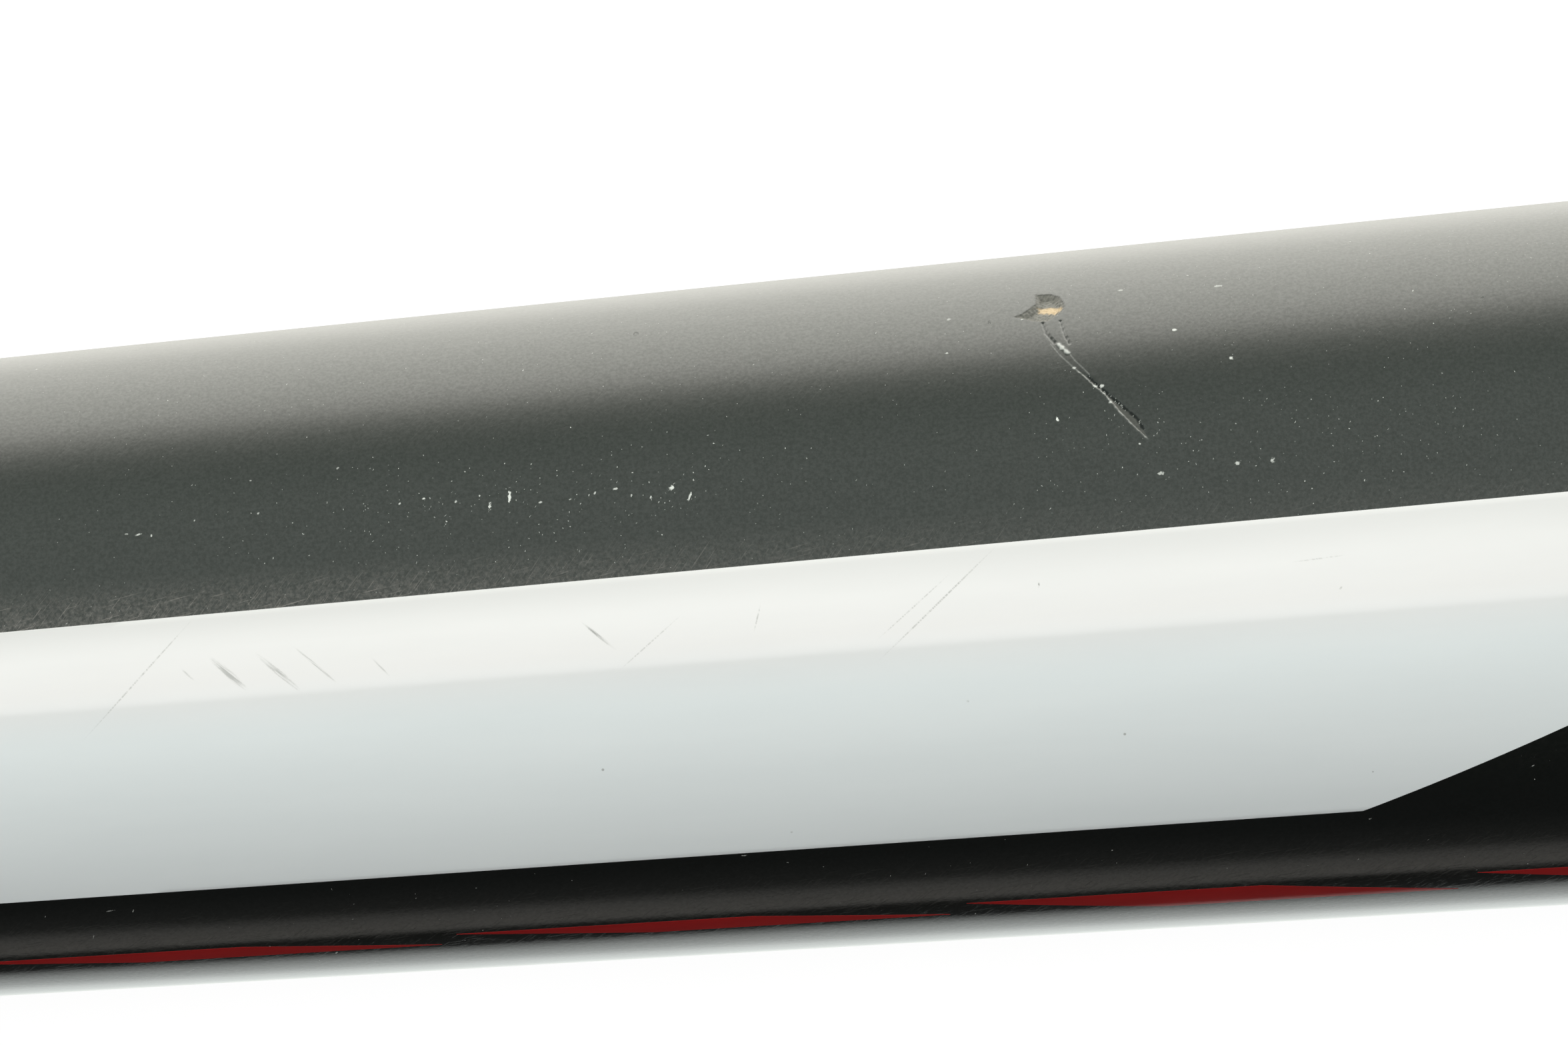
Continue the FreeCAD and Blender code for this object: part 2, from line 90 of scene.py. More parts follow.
class Nodes:
    """A node tree with short ways to add nodes. An input is a number, a colour or a node's socket."""

    def __init__(self, owner):
        owner.use_nodes = True
        self.tree = owner.node_tree

    def node(self, kind, inputs=(), **settings):
        made = self.tree.nodes.new(kind)
        for name, value in settings.items():
            setattr(made, name, value)
        for socket, value in dict(inputs).items():
            self.put(made.inputs[socket], value)
        return made

    def put(self, socket, value):
        if isinstance(value, bpy.types.NodeSocket):
            self.tree.links.new(value, socket)
        elif value is not None:
            socket.default_value = value

    def math(self, operation, a, b=None, c=None):
        made = self.node("ShaderNodeMath", operation=operation)
        for socket, value in zip(made.inputs, (a, b, c)):
            self.put(socket, value)
        return made.outputs[0]

    def times(self, a, b):
        return self.math("MULTIPLY", a, b)

    def times_plus(self, a, b, c):
        return self.math("MULTIPLY_ADD", a, b, c)

    def fit(self, value, low, high, to_low=0.0, to_high=1.0, kind="SMOOTHSTEP"):
        """Maps low to to_low and high to to_high, smoothly and held beyond both."""
        made = self.node("ShaderNodeMapRange", interpolation_type=kind)
        for socket, number in zip(made.inputs, (value, low, high, to_low, to_high)):
            self.put(socket, number)
        return made.outputs[0]

    def blend(self, share, a, b, kind="MIX"):
        made = self.node("ShaderNodeMix", data_type="RGBA", blend_type=kind)
        self.put(made.inputs[0], share)
        self.put(made.inputs[6], a)
        self.put(made.inputs[7], b)
        return made.outputs[2]

    def split(self, vector):
        return self.node("ShaderNodeSeparateXYZ", {"Vector": vector}).outputs

    def join(self, x, y, z=0.0):
        return self.node("ShaderNodeCombineXYZ", {"X": x, "Y": y, "Z": z}).outputs[0]

    def mapped(self, vector, place=(0, 0, 0), turn=(0, 0, 0), scale=(1, 1, 1), kind="POINT"):
        made = self.node("ShaderNodeMapping", {"Vector": vector}, vector_type=kind)
        made.inputs["Location"].default_value = place
        made.inputs["Rotation"].default_value = [math.radians(angle) for angle in turn]
        made.inputs["Scale"].default_value = scale
        return made.outputs[0]

    def leaned(self, vector, lean, length, width):
        """Stretches a flat pattern to a length and width along a lean in degrees."""
        return self.mapped(vector, turn=(0, 0, lean), scale=(length, width, 1), kind="TEXTURE")

    def noise(self, vector, scale, detail=2.0, roughness=0.5):
        return self.node("ShaderNodeTexNoise", {
            "Vector": vector, "Scale": scale, "Detail": detail, "Roughness": roughness}).outputs[0]

    def cells(self, vector, scale):
        """Distance to the nearest scattered point, and a random number for that point."""
        made = self.node("ShaderNodeTexVoronoi", {"Vector": vector, "Scale": scale})
        return made.outputs["Distance"], self.split(made.outputs["Color"])[0]

    def ramp(self, value, stops):
        made = self.node("ShaderNodeValToRGB", {"Fac": value})
        elements = made.color_ramp.elements
        while len(elements) < len(stops):
            elements.new(0.5)
        for element, (place, colour) in zip(elements, stops):
            element.position = place
            shades = colour if isinstance(colour, tuple) else (colour,) * 3
            element.color = (*shades, 1.0)
        return made.outputs[0]


# Brightness of the studio round the bat, by the angle where the light is, in degrees as on the skin.
LIGHT_RING = (
    (-180, 2.7), (-173, 2.4), (-161, 1.7), (-149, 1.15), (-135, 1.1), (-123, 1.3), (-114, 1.55),
    (-105, 1.25), (-98, 1.0), (-93.5, 0.5), (-91.5, 0.06), (-80, 0.05), (-77, 0.52), (-69, 0.48),
    (-63, 0.15), (-50, 0.08), (20, 0.10), (27, 0.15), (28.5, 2.7), (46, 2.5), (58, 1.8), (95, 1.7),
    (113, 1.3), (120, 1.5), (126, 2.2), (133, 4.0), (140, 4.7), (152, 4.4), (163, 3.8), (174, 3.1),
    (180, 2.7))
# Tint of the same ring: warm behind the bat, a little green above and below it, cool in front.
WARM, GREENISH = (1.0, 0.99, 0.915), (0.95, 1.0, 0.97)
TINT_RING = (
    (-180, WARM), (-150, WARM), (-125, GREENISH), (-90, GREENISH), (-75, (1.0, 0.96, 0.88)),
    (-50, (0.95, 0.99, 0.98)), (20, (0.93, 0.99, 1.0)), (34, (1.0, 0.98, 0.935)),
    (60, (0.935, 1.0, 0.94)), (110, (0.935, 1.0, 0.935)), (128, WARM), (180, WARM))
KNOB_TOUCH = 0.0075, -0.025  # X and Z in metres where the knob's rim rests
TABLE_GLOW = 0.955  # keeps the table as white as the photo's
RING_PEAK = 6.0  # brightness that the top of the colour ramp stands for
END_LIGHT = 1.2  # brightness beyond the bat's two ends
END_SPREAD = 0.8, 0.97  # X of a direction, from where the ring fades to where only the end light is left


def make_world():
    """Soft light from long panels beside and above the bat; the camera itself sees plain white."""
    world = bpy.data.worlds.new("studio")
    scene.world = world
    nodes = Nodes(world)
    background = nodes.tree.nodes["Background"]
    direction = nodes.node("ShaderNodeTexCoord").outputs["Generated"]
    x, y, z = nodes.split(direction)
    angle = nodes.math("ARCTAN2", z, nodes.times(y, -1.0))
    share = nodes.times_plus(angle, 0.5 / math.pi, 0.5)
    levels = [(degrees, light / RING_PEAK) for degrees, light in LIGHT_RING]
    ring, tint = (nodes.ramp(share, [((degrees + 180) / 360, value) for degrees, value in stops])
                  for stops in (levels, TINT_RING))
    near_end = nodes.fit(nodes.math("ABSOLUTE", x), *END_SPREAD)
    end = (END_LIGHT / RING_PEAK,) * 3 + (1.0,)
    light = nodes.blend(1.0, nodes.blend(near_end, ring, end), tint, "MULTIPLY")
    is_camera = nodes.node("ShaderNodeLightPath").outputs["Is Camera Ray"]
    nodes.put(background.inputs["Color"], nodes.blend(is_camera, light, (1, 1, 1, 1)))
    nodes.put(background.inputs["Strength"], nodes.fit(is_camera, 0.0, 1.0, RING_PEAK, 1.0, "LINEAR"))


def new_object(name, vertices, faces):
    mesh = bpy.data.meshes.new(name)
    mesh.from_pydata([tuple(point) for point in vertices], [], [tuple(face) for face in faces])
    mesh.update()
    made = bpy.data.objects.new(name, mesh)
    scene.collection.objects.link(made)
    return made


def make_floor():
    """Pale table that touches the knob's rim and the barrel."""
    knob_x, knob_z = KNOB_TOUCH
    barrel_x, barrel_z = CYLINDER_START * MM, -BARREL_RADIUS * MM
    slope = (barrel_z - knob_z) / (barrel_x - knob_x)
    reach, cells = 4.0, 8
    steps = np.linspace(-reach, reach, cells + 1)
    corners = [(x, y, knob_z + slope * (x - knob_x)) for x in steps for y in steps]
    row = cells + 1
    faces = [(a * row + b, (a + 1) * row + b, (a + 1) * row + b + 1, a * row + b + 1)
             for a in range(cells) for b in range(cells)]
    floor = new_object("floor", corners, faces)
    nodes, shader = new_material(floor, "table_white")
    grain = nodes.noise(nodes.node("ShaderNodeTexCoord").outputs["Object"], 40.0, 4.0)
    nodes.put(shader.inputs["Base Color"], nodes.ramp(grain, ((0.3, 0.11), (0.7, 0.12))))
    shader.inputs["Roughness"].default_value = 0.9
    shader.inputs["Specular IOR Level"].default_value = 0.0
    shader.inputs["Emission Color"].default_value = (1.0, 1.0, 1.0, 1.0)
    shader.inputs["Emission Strength"].default_value = TABLE_GLOW
    for kind in ("diffuse", "glossy", "transmission", "shadow"):
        setattr(floor, f"visible_{kind}", False)


# ---------------------------------------------------------------- shapes
def bat_radius(x):
    """Radius of the bat's outer line, in mm, at places along it, in mm."""
    x = np.asarray(x, float)
    cone_rise = (BARREL_RADIUS - CONE_RADIUS) / (CYLINDER_START - CONE_START)
    steep = (2 * (CONE_RADIUS - HANDLE_RADIUS) - cone_rise * (CONE_START - SWEEP_MIDDLE)) / (
        CONE_START - SWEEP_START)
    steep_angle, cone_angle = math.atan(steep), math.atan(cone_rise)
    sweep = (SWEEP_MIDDLE - SWEEP_START) / math.sin(steep_angle)
    sweep_x = np.clip(x - SWEEP_START, 0, SWEEP_MIDDLE - SWEEP_START)
    hollow = HANDLE_RADIUS + sweep - np.sqrt(sweep ** 2 - sweep_x ** 2)
    shoulder = (CONE_START - SWEEP_MIDDLE) / (math.sin(steep_angle) - math.sin(cone_angle))
    centre_x = CONE_START + shoulder * math.sin(cone_angle)
    centre_r = CONE_RADIUS - shoulder * math.cos(cone_angle)
    shoulder_x = np.clip(x, SWEEP_MIDDLE, CONE_START) - centre_x
    rounded = centre_r + np.sqrt(shoulder ** 2 - shoulder_x ** 2)
    cone = CONE_RADIUS + (np.clip(x, CONE_START, CYLINDER_START) - CONE_START) * cone_rise
    return np.where(x < SWEEP_MIDDLE, hollow, np.where(x < CONE_START, rounded, cone))


def skin_points(x, degrees, radius):
    """Points in metres from places along the bat, angles round it and radii, in mm and degrees."""
    angle = np.radians(degrees)
    x, radius, angle = np.broadcast_arrays(x, radius, angle)
    return np.stack([x, -radius * np.cos(angle), radius * np.sin(angle)], axis=-1) * MM


def finish_piece(piece, node, sharp=30.0):
    """Smooth shading with sharp corners, and the piece's place in the part."""
    piece.data.polygons.foreach_set("use_smooth", [True] * len(piece.data.polygons))
    piece.data.set_sharp_from_angle(angle=math.radians(sharp))
    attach(piece, "root")
    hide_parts(node)
    return piece


def ring_faces(rows, columns, closed):
    """Quads of a tube of rings; a closed tube also joins its last ring to its first."""
    faces = []
    for row in range(rows if closed else rows - 1):
        here, there = row * columns, (row + 1) % rows * columns
        for column in range(columns):
            after = (column + 1) % columns
            faces.append((here + column, here + after, there + after, there + column))
    return faces


def turned(name, outline, columns=192):
    """Turns an outline of (x, radius) about the bat's axis. It is closed, or both its ends are there."""
    angles = np.linspace(0, 360, columns, endpoint=False)
    on_axis = outline[0][1] == 0 and outline[-1][1] == 0
    rings = outline[1:-1] if on_axis else outline
    x = np.array([point[0] for point in rings])[:, None]
    radius = np.array([point[1] for point in rings])[:, None]
    vertices = skin_points(x, angles[None, :], radius).reshape(-1, 3)
    faces = ring_faces(len(rings), columns, closed=not on_axis)
    if on_axis:
        first, last = len(vertices), len(vertices) + 1
        tips = skin_points(np.array([outline[0][0], outline[-1][0]]), 0.0, 0.0)
        vertices = np.concatenate([vertices, tips])
        end = (len(rings) - 1) * columns
        for column in range(columns):
            after = (column + 1) % columns
            faces.append((first, after, column))
            faces.append((last, end + column, end + after))
    made = new_object(name, vertices, faces)
    outward(made)
    return made


def outward(piece):
    """Turns every face of a closed mesh to face out."""
    mesh = piece.data
    volume = 0.0
    for polygon in mesh.polygons:
        volume += polygon.area * polygon.normal.dot(polygon.center)
    if volume < 0:
        mesh.flip_normals()


def straight(start, end, step=2.0):
    """Points from start up to, but without, end."""
    count = max(1, int(math.ceil(math.dist(start, end) / step)))
    return [tuple(start[i] + (end[i] - start[i]) * n / count for i in (0, 1)) for n in range(count)]


def arc(centre, radius, first, last, count=14):
    """Points on an arc between two angles in degrees, without the last."""
    angles = [math.radians(first + (last - first) * n / count) for n in range(count)]
    return [(centre[0] + radius * math.cos(a), centre[1] + radius * math.sin(a)) for a in angles]


def path(*corners, step=2.0):
    """A run of straight lines through corners, without the last corner."""
    points = []
    for start, end in zip(corners, corners[1:]):
        points += straight(start, end, step)
    return points


# ---------------------------------------------------------------- the chip and the scratch
# Outlines, lines and flecks on the skin as (x, degrees), then depths and heights in mm.
CHIP_EDGE = (
    (631.9, 99.6), (633.3, 99.4), (634.1, 98.2), (634.4, 96.2), (634.4, 94.8), (634.0, 93.3),
    (633.4, 92.3), (632.8, 91.3), (632.0, 91.3), (631.3, 91.6), (630.7, 92.3), (629.6, 93.3),
    (630.3, 93.9), (631.2, 95.4), (631.8, 96.7))
CHIP_TAN = (
    (632.0, 95.9), (633.1, 96.2), (634.1, 95.5), (634.1, 94.5), (633.6, 93.8), (632.7, 94.4),
    (632.0, 94.6))
CRACK_LEFT = ((632.2, 90.9), (632.4, 88.1), (633.0, 85.6))
CRACK_RIGHT = ((633.8, 91.0), (634.0, 87.1), (634.3, 85.2))
BLOB = ((633.3, 85.2), (633.8, 83.8), (634.0, 83.1))
FAINT_LEFT = ((632.6, 85.5), (633.3, 82.8), (633.9, 81.1), (634.4, 79.7))
FAINT_RIGHT = ((634.1, 83.2), (634.6, 81.2), (635.3, 79.2), (635.7, 78.0))
SCRATCH = ((634.4, 79.7), (635.2, 77.8), (636.1, 75.4), (636.8, 73.9), (637.4, 71.9), (637.9, 70.4),
           (638.6, 68.5), (639.6, 66.1), (640.2, 64.9))
SCRATCH_EDGE = ((635.6, 77.6), (636.5, 75.3), (637.5, 73.0), (638.4, 71.0), (639.4, 69.0), (639.9, 66.8))
FLECKS = ((630.4, 92.5), (634.4, 79.7), (636.1, 75.6), (636.8, 74.0), (637.3, 72.2), (636.7, 75.5))
DAMAGE_X, DAMAGE_DEGREES = (628.6, 641.2), (63.6, 101.4)
DAMAGE_STEP = 0.08  # size of the mesh's faces there
CHIP_DEPTH, WEDGE_DEPTH, CRACK_DEPTH, CUT_DEPTH = 0.42, 0.09, 0.1, 0.05
BLOB_HEIGHT, BURR_HEIGHT = 0.05, 0.03
FAR = 1e3  # a distance beyond every mark


def line_distance(x, rise, line):
    """Distance in mm to a line of (x, degrees) points, from places (x, height round the bat) in mm."""
    best = np.full(np.broadcast(x, rise).shape, FAR)
    points = [(px, degrees * MM_PER_DEGREE) for px, degrees in line]
    for (ax, ay), (bx, by) in zip(points, points[1:]):
        length = (bx - ax) ** 2 + (by - ay) ** 2
        share = np.clip(((x - ax) * (bx - ax) + (rise - ay) * (by - ay)) / length, 0, 1)
        best = np.minimum(best, np.hypot(x - ax - share * (bx - ax), rise - ay - share * (by - ay)))
    return best


def depth_inside(x, rise, edge):
    """Distance in mm to a closed edge of (x, degrees) points, negative outside it."""
    inside = np.zeros(np.broadcast(x, rise).shape, bool)
    for (ax, ad), (bx, bd) in zip(edge, edge[1:] + edge[:1]):
        ay, by = ad * MM_PER_DEGREE, bd * MM_PER_DEGREE
        if ay == by:
            continue
        crosses = (ay > rise) != (by > rise)
        inside ^= crosses & (x < (bx - ax) * (rise - ay) / (by - ay) + ax)
    return np.where(inside, 1, -1) * line_distance(x, rise, edge + edge[:1])


def soft(value, low, high):
    """0 below low, 1 above high and smooth between them."""
    share = np.clip((value - low) / (high - low), 0, 1)
    return share * share * (3 - 2 * share)


def ripple(x, rise, size):
    """Broken-looking unevenness between -1 and 1, from a few crossed waves."""
    u, v = x / size, rise / size
    return (np.sin(1.9 * u + 1.3 * np.sin(1.1 * v)) + np.sin(2.3 * v + 1.7 * np.sin(1.4 * u + 0.6))
            + np.sin(3.1 * (u - v) + 2.0)) / 3


def damage(x, rise):
    """How deep the skin is broken, in mm, and masks of its bare places, painted shade, white places and
    broken places.
    """
    uneven = ripple(x, rise, 0.16)
    chip = depth_inside(x, rise, CHIP_EDGE) + 0.07 * uneven
    bare = soft(depth_inside(x, rise, CHIP_TAN) + 0.1 * uneven, -0.15, 0.2)
    wavy = ripple(x, rise, 0.35)
    wedge = depth_inside(x, rise, SCRATCH + SCRATCH_EDGE[::-1]) + 0.05 * wavy
    cracks = np.minimum(line_distance(x, rise, CRACK_LEFT), line_distance(x, rise, CRACK_RIGHT) + 0.04)
    cut = line_distance(x, rise, SCRATCH_EDGE)
    pale = line_distance(x, rise, SCRATCH)
    faint = np.minimum(line_distance(x, rise, FAINT_LEFT), line_distance(x, rise, FAINT_RIGHT))
    blob = line_distance(x, rise, BLOB)
    fleck = np.full(x.shape, FAR)
    for number, (fx, degrees) in enumerate(FLECKS):
        away = np.hypot((x - fx) * 0.8, rise - degrees * MM_PER_DEGREE)
        fleck = np.minimum(fleck, away - 0.03 * (number % 3))

    deep = CHIP_DEPTH * soft(chip, -0.05, 0.75) + 0.05 * uneven * soft(chip, 0.1, 0.5)
    deep += WEDGE_DEPTH * soft(wedge, -0.05, 0.15) + CUT_DEPTH * soft(0.22 - cut + 0.06 * wavy, 0, 0.15)
    deep += CRACK_DEPTH * soft(0.24 - cracks + 0.04 * wavy, 0, 0.2)
    deep -= BLOB_HEIGHT * soft(0.3 - blob, 0, 0.25) + BURR_HEIGHT * soft(0.12 - pale, 0, 0.1)

    # Painted shade: colour darkened round the chip's rim, in the cracks and along the cut, where shade
    # falls in them.
    rim = soft(0.2 - np.abs(chip - 0.06), 0, 0.2) * (1 - bare)
    painted_shade = np.maximum(0.4 * soft(0.2 - cracks + 0.05 * wavy, 0, 0.2), 0.45 * rim)
    painted_shade = np.maximum(painted_shade, 0.75 * soft(0.24 - cut + 0.08 * wavy, 0, 0.2))
    # Painted highlights: glint makes the pale line along the scratch brighten and fade, and sparkle
    # paints glints along the cut.
    glint = 0.35 + 0.65 * soft(ripple(x + 4, rise + 9, 0.7), -0.1, 0.5)
    white = 0.45 * glint * soft(0.1 - pale + 0.03 * wavy, 0, 0.12)
    white = np.maximum(white, 0.2 * soft(0.09 - faint + 0.02 * uneven, 0, 0.1))
    white = np.maximum(white, 0.55 * soft(0.27 - blob + 0.1 * wavy, 0, 0.22))
    white = np.maximum(white, 0.8 * soft(0.13 - fleck + 0.04 * uneven, 0, 0.1))
    sparkle = soft(ripple(x + 7, rise - 3, 0.07), 0.55, 0.8) * soft(0.17 - cut, 0, 0.1)
    white = np.maximum(white, 0.7 * sparkle)
    chipped = soft(chip, -0.05, 0.1)
    broken = np.maximum(soft(wedge, -0.03, 0.08) * 0.3, chipped)
    return deep, bare, painted_shade * (1 - white), white, broken


def stations(stretches, end):
    """Places up to an end, at the step that each stretch gives from where it starts."""
    places = []
    for (start, step), (stop, _) in zip(stretches, stretches[1:] + ((end, None),)):
        places.append(np.linspace(start, stop, max(1, round((stop - start) / step)), endpoint=False))
    return np.concatenate([*places, [end]])


def mark_fields(x, rise, strokes):
    """For places (x, height round the bat) in mm: the place within the nearest small mark, whose edge is
    at distance 1, the mark's number and its strength."""
    nearest = np.full(x.shape, FAR)
    fields = np.zeros((4, *x.shape))
    for number, (mark_x, degrees, length, width, lean, strength) in enumerate(strokes):
        cosine, sine = math.cos(math.radians(lean)), math.sin(math.radians(lean))
        across, up = x - mark_x, rise - degrees * MM_PER_DEGREE
        along = across * cosine + up * sine
        aside = up * cosine - across * sine
        away = np.hypot(along - np.clip(along, -length, length), aside)
        closer = away < nearest
        nearest = np.where(closer, away, nearest)
        for field, value in zip(fields, (along / length, aside / width, number, strength)):
            field[closer] = value[closer] if np.ndim(value) else value
    return fields


UNMARKED = 9.0  # a place within a mark that lies well beyond its edge


def add_marks(piece, fields):
    """Stores the mark fields on a piece's points."""
    places = piece.data.attributes.new("mark_place", "FLOAT_VECTOR", "POINT")
    places.data.foreach_set("vector", fields[:3].reshape(3, -1).T.astype(np.float32).ravel())
    strengths = piece.data.attributes.new("mark_strength", "FLOAT", "POINT")
    strengths.data.foreach_set("value", fields[3].astype(np.float32).ravel())


def make_barrel():
    """The barrel's tube, with the finest mesh where it is chipped and scratched."""
    # Each pair is where a stretch of the mesh starts, and its step.
    along = stations((
        (BARREL_TAIL, 3.0), (536.0, 0.45), (DAMAGE_X[0], DAMAGE_STEP), (DAMAGE_X[1], 0.8),
        (680.0, 3.0)), CAP_JOINT)
    around = stations((
        (-90.0, 2.5), (-28.0, 1.6), (57.0, 0.6), (DAMAGE_DEGREES[0], DAMAGE_STEP / MM_PER_DEGREE),
        (DAMAGE_DEGREES[1], 2.2)), 270.0)[:-1]
    x, degrees = np.meshgrid(along, around, indexing="ij")
    rise = degrees * MM_PER_DEGREE
    inside = (DAMAGE_X[0] < x) & (x < DAMAGE_X[1])
    inside &= (DAMAGE_DEGREES[0] < degrees) & (degrees < DAMAGE_DEGREES[1])
    fields = np.zeros((5, *x.shape))
    fields[:, inside] = damage(x[inside], rise[inside])
    outer = bat_radius(x) - fields[0]
    back = along[::-8]
    if back[-1] != BARREL_TAIL:
        back = np.append(back, BARREL_TAIL)
    inner = np.repeat(bat_radius(back)[:, None] - BARREL_WALL, len(around), axis=1)
    vertices = np.concatenate([
        skin_points(x, degrees, outer).reshape(-1, 3),
        skin_points(back[:, None], around[None, :], inner).reshape(-1, 3)])
    rows, columns = len(along) + len(back), len(around)
    barrel = new_object("barrel", vertices, ring_faces(rows, columns, closed=True))
    outward(barrel)
    # Wear and painted shade on the points: bare, painted shade and white masks, with the broken mask as
    # alpha.
    colours = np.zeros((len(vertices), 4), np.float32)
    colours[:x.size, :3] = fields[1:4].reshape(3, -1).T
    colours[:x.size, 3] = fields[4].ravel()
    wear_and_shade = barrel.data.attributes.new("wear_and_shade", "FLOAT_COLOR", "POINT")
    wear_and_shade.data.foreach_set("color", colours.ravel())
    scuffs = np.zeros((4, len(vertices)))
    scuffs[0] = UNMARKED
    scuffs[:, :x.size] = mark_fields(x, rise, PAINT_SCUFFS).reshape(4, -1)
    add_marks(barrel, scuffs)
    paint_material(barrel)
    finish_piece(barrel, "barrel_shell", sharp=50.0)


# ---------------------------------------------------------------- films on the barrel
# The x of a panel's lower and upper corner, at its end by the cap and at its end by the handle.
PANEL_ENDS = ((657.0, 724.0), (402.0, 440.0))
FLASH_TOP, FLASH_LENGTH = -18.9, 27.0
FLASH_RUN = 18.0  # mm along the bat from a stripe's top to its bottom
# Heights of the films over the paint, and how far their undersides lie below it.
PANEL_LIFT, PANEL_EDGE_LIFT, FLASH_LIFT, FILM_SINK = 0.05, 0.02, 0.03, 0.03
# Each long edge of a panel, as degrees at a place along the bat, that place and degrees per mm.
PANEL_LOWER, PANEL_UPPER = (-1.0, 605.0, 0.009), (49.5, 607.0, 0.0137)
# Each stripe's x where its top starts, and the angle of its bottom.
FLASHES = (
    (435.3, -22.7), (481.8, -22.7), (528.3, -22.7), (574.8, -22.8), (621.3, -24.8), (667.8, -25.2))


def film_piece(x, degrees, lift, edge_lift):
    """Closed thin sheet over a grid of places on the barrel. Its outer side is lifted off the paint."""
    rows, columns = x.shape
    height = np.full(x.shape, lift)
    height[[0, -1], :] = height[:, [0, -1]] = edge_lift
    top = skin_points(x, degrees, bat_radius(x) + height).reshape(-1, 3)
    under = skin_points(x, degrees, bat_radius(x) - FILM_SINK).reshape(-1, 3)
    index = np.arange(rows * columns).reshape(rows, columns)
    shift = rows * columns
    faces = []
    for row in range(rows - 1):
        for column in range(columns - 1):
            quad = (index[row, column], index[row + 1, column],
                    index[row + 1, column + 1], index[row, column + 1])
            faces.append(quad)
            faces.append(tuple(corner + shift for corner in reversed(quad)))
    rim = [*index[0, :-1], *index[:-1, -1], *index[-1, :0:-1], *index[:0:-1, 0]]
    for here, there in zip(rim, rim[1:] + rim[:1]):
        faces.append((here, there, there + shift, here + shift))
    return [*top, *under], faces


def edged(count, edge):
    """Shares from 0 to 1 with a narrow step at both ends."""
    return np.concatenate([[0.0], np.linspace(edge, 1 - edge, count), [1.0]])


def make_panel(name, node, lift):
    """White panel, with both ends on a slant and edges that widen slowly towards the cap."""
    across, along = np.meshgrid(edged(60, 0.002), edged(560, 0.0002))
    (end_low, end_high), (tail_low, tail_high) = PANEL_ENDS
    end = end_low + (end_high - end_low) * across
    tail = tail_low + (tail_high - tail_low) * across
    x = tail + (end - tail) * along
    lower, upper = (level + rate * (x - place) for level, place, rate in (PANEL_LOWER, PANEL_UPPER))
    degrees = lower + (upper - lower) * across
    vertices, faces = film_piece(x, degrees + lift, PANEL_LIFT, PANEL_EDGE_LIFT)
    panel = new_object(name, vertices, faces)
    outward(panel)
    fields = mark_fields(x, degrees * MM_PER_DEGREE, PANEL_SCUFFS)
    add_marks(panel, np.concatenate([fields.reshape(4, -1)] * 2, axis=1))
    white_material(panel)
    finish_piece(panel, node)


def make_flashes(name, node, lift):
    """Slanted red stripes, cut off straight above and below."""
    vertices, faces = [], []
    for start, bottom in FLASHES:
        across, along = np.meshgrid(edged(48, 0.002), edged(14, 0.02))
        degrees = FLASH_TOP + (bottom - FLASH_TOP) * along
        x = start + FLASH_LENGTH * across + FLASH_RUN * along
        points, quads = film_piece(x, degrees + lift, FLASH_LIFT, FLASH_LIFT)
        faces += [tuple(corner + len(vertices) for corner in quad) for quad in quads]
        vertices += points
    flashes = new_object(name, vertices, faces)
    outward(flashes)
    red_material(flashes)
    finish_piece(flashes, node)


# ---------------------------------------------------------------- materials
def new_material(piece, name):
    """Gives a piece a new material. Returns its nodes and its shader."""
    material = bpy.data.materials.new(name)
    nodes = Nodes(material)
    piece.data.materials.clear()
    piece.data.materials.append(material)
    return nodes, nodes.tree.nodes["Principled BSDF"]


def object_place(nodes):
    """Place in the part, in millimetres."""
    place = nodes.node("ShaderNodeTexCoord").outputs["Object"]
    return nodes.mapped(place, scale=(1000, 1000, 1000))


def unrolled(nodes):
    """Place on the skin laid flat, in millimetres, and the angle round the bat in degrees."""
    x, y, z = nodes.split(object_place(nodes))
    angle = nodes.math("ARCTAN2", z, nodes.times(y, -1.0))
    degrees = nodes.times(angle, math.degrees(1))
    return nodes.join(x, nodes.times(degrees, MM_PER_DEGREE)), x, degrees


def shaken(nodes, place, size, reach):
    """A place moved a little by noise, to make edges ragged."""
    made = nodes.node("ShaderNodeTexNoise", {"Vector": place, "Scale": size, "Detail": 3.0})
    moved = nodes.node("ShaderNodeVectorMath", operation="MULTIPLY_ADD")
    nodes.put(moved.inputs[0], made.outputs["Color"])
    moved.inputs[1].default_value = (reach, reach, 0)
    nodes.put(moved.inputs[2], place)
    return nodes.mapped(moved.outputs[0], place=(-reach / 2, -reach / 2, 0))


def marks(nodes, solid, soft_edge, ragged):
    """Mask of the piece's small marks, with ragged edges. Between two marks the number is not whole,
    and the mask is empty."""
    local = nodes.node("ShaderNodeAttribute", attribute_name="mark_place").outputs["Vector"]
    strength = nodes.node("ShaderNodeAttribute", attribute_name="mark_strength").outputs["Fac"]
    along, aside, number = nodes.split(local)
    length = nodes.node("ShaderNodeVectorMath", {0: nodes.join(along, aside)}, operation="LENGTH")
    uneven = nodes.math("SUBTRACT", nodes.noise(solid, 4.0, 3.0, 0.7), 0.42)
    away = nodes.math("ADD", length.outputs["Value"], nodes.times(uneven, ragged))
    whole = nodes.math("ABSOLUTE", nodes.math("SUBTRACT", number, nodes.math("ROUND", number)))
    mask = nodes.times(nodes.fit(away, 1.0 - soft_edge, 1.0, 1.0, 0.0), strength)
    return nodes.times(mask, nodes.math("LESS_THAN", whole, 0.001))


def dress(nodes, shader, colour, rough, height, depth):
    """Links a colour, a roughness and a bump, whose height of 1 stands for a depth in mm."""
    bump = nodes.node("ShaderNodeBump", {"Height": height, "Distance": depth * MM, "Strength": 1.0})
    for socket, value in (("Base Color", colour), ("Roughness", rough), ("Normal", bump.outputs[0])):
        nodes.put(shader.inputs[socket], value)


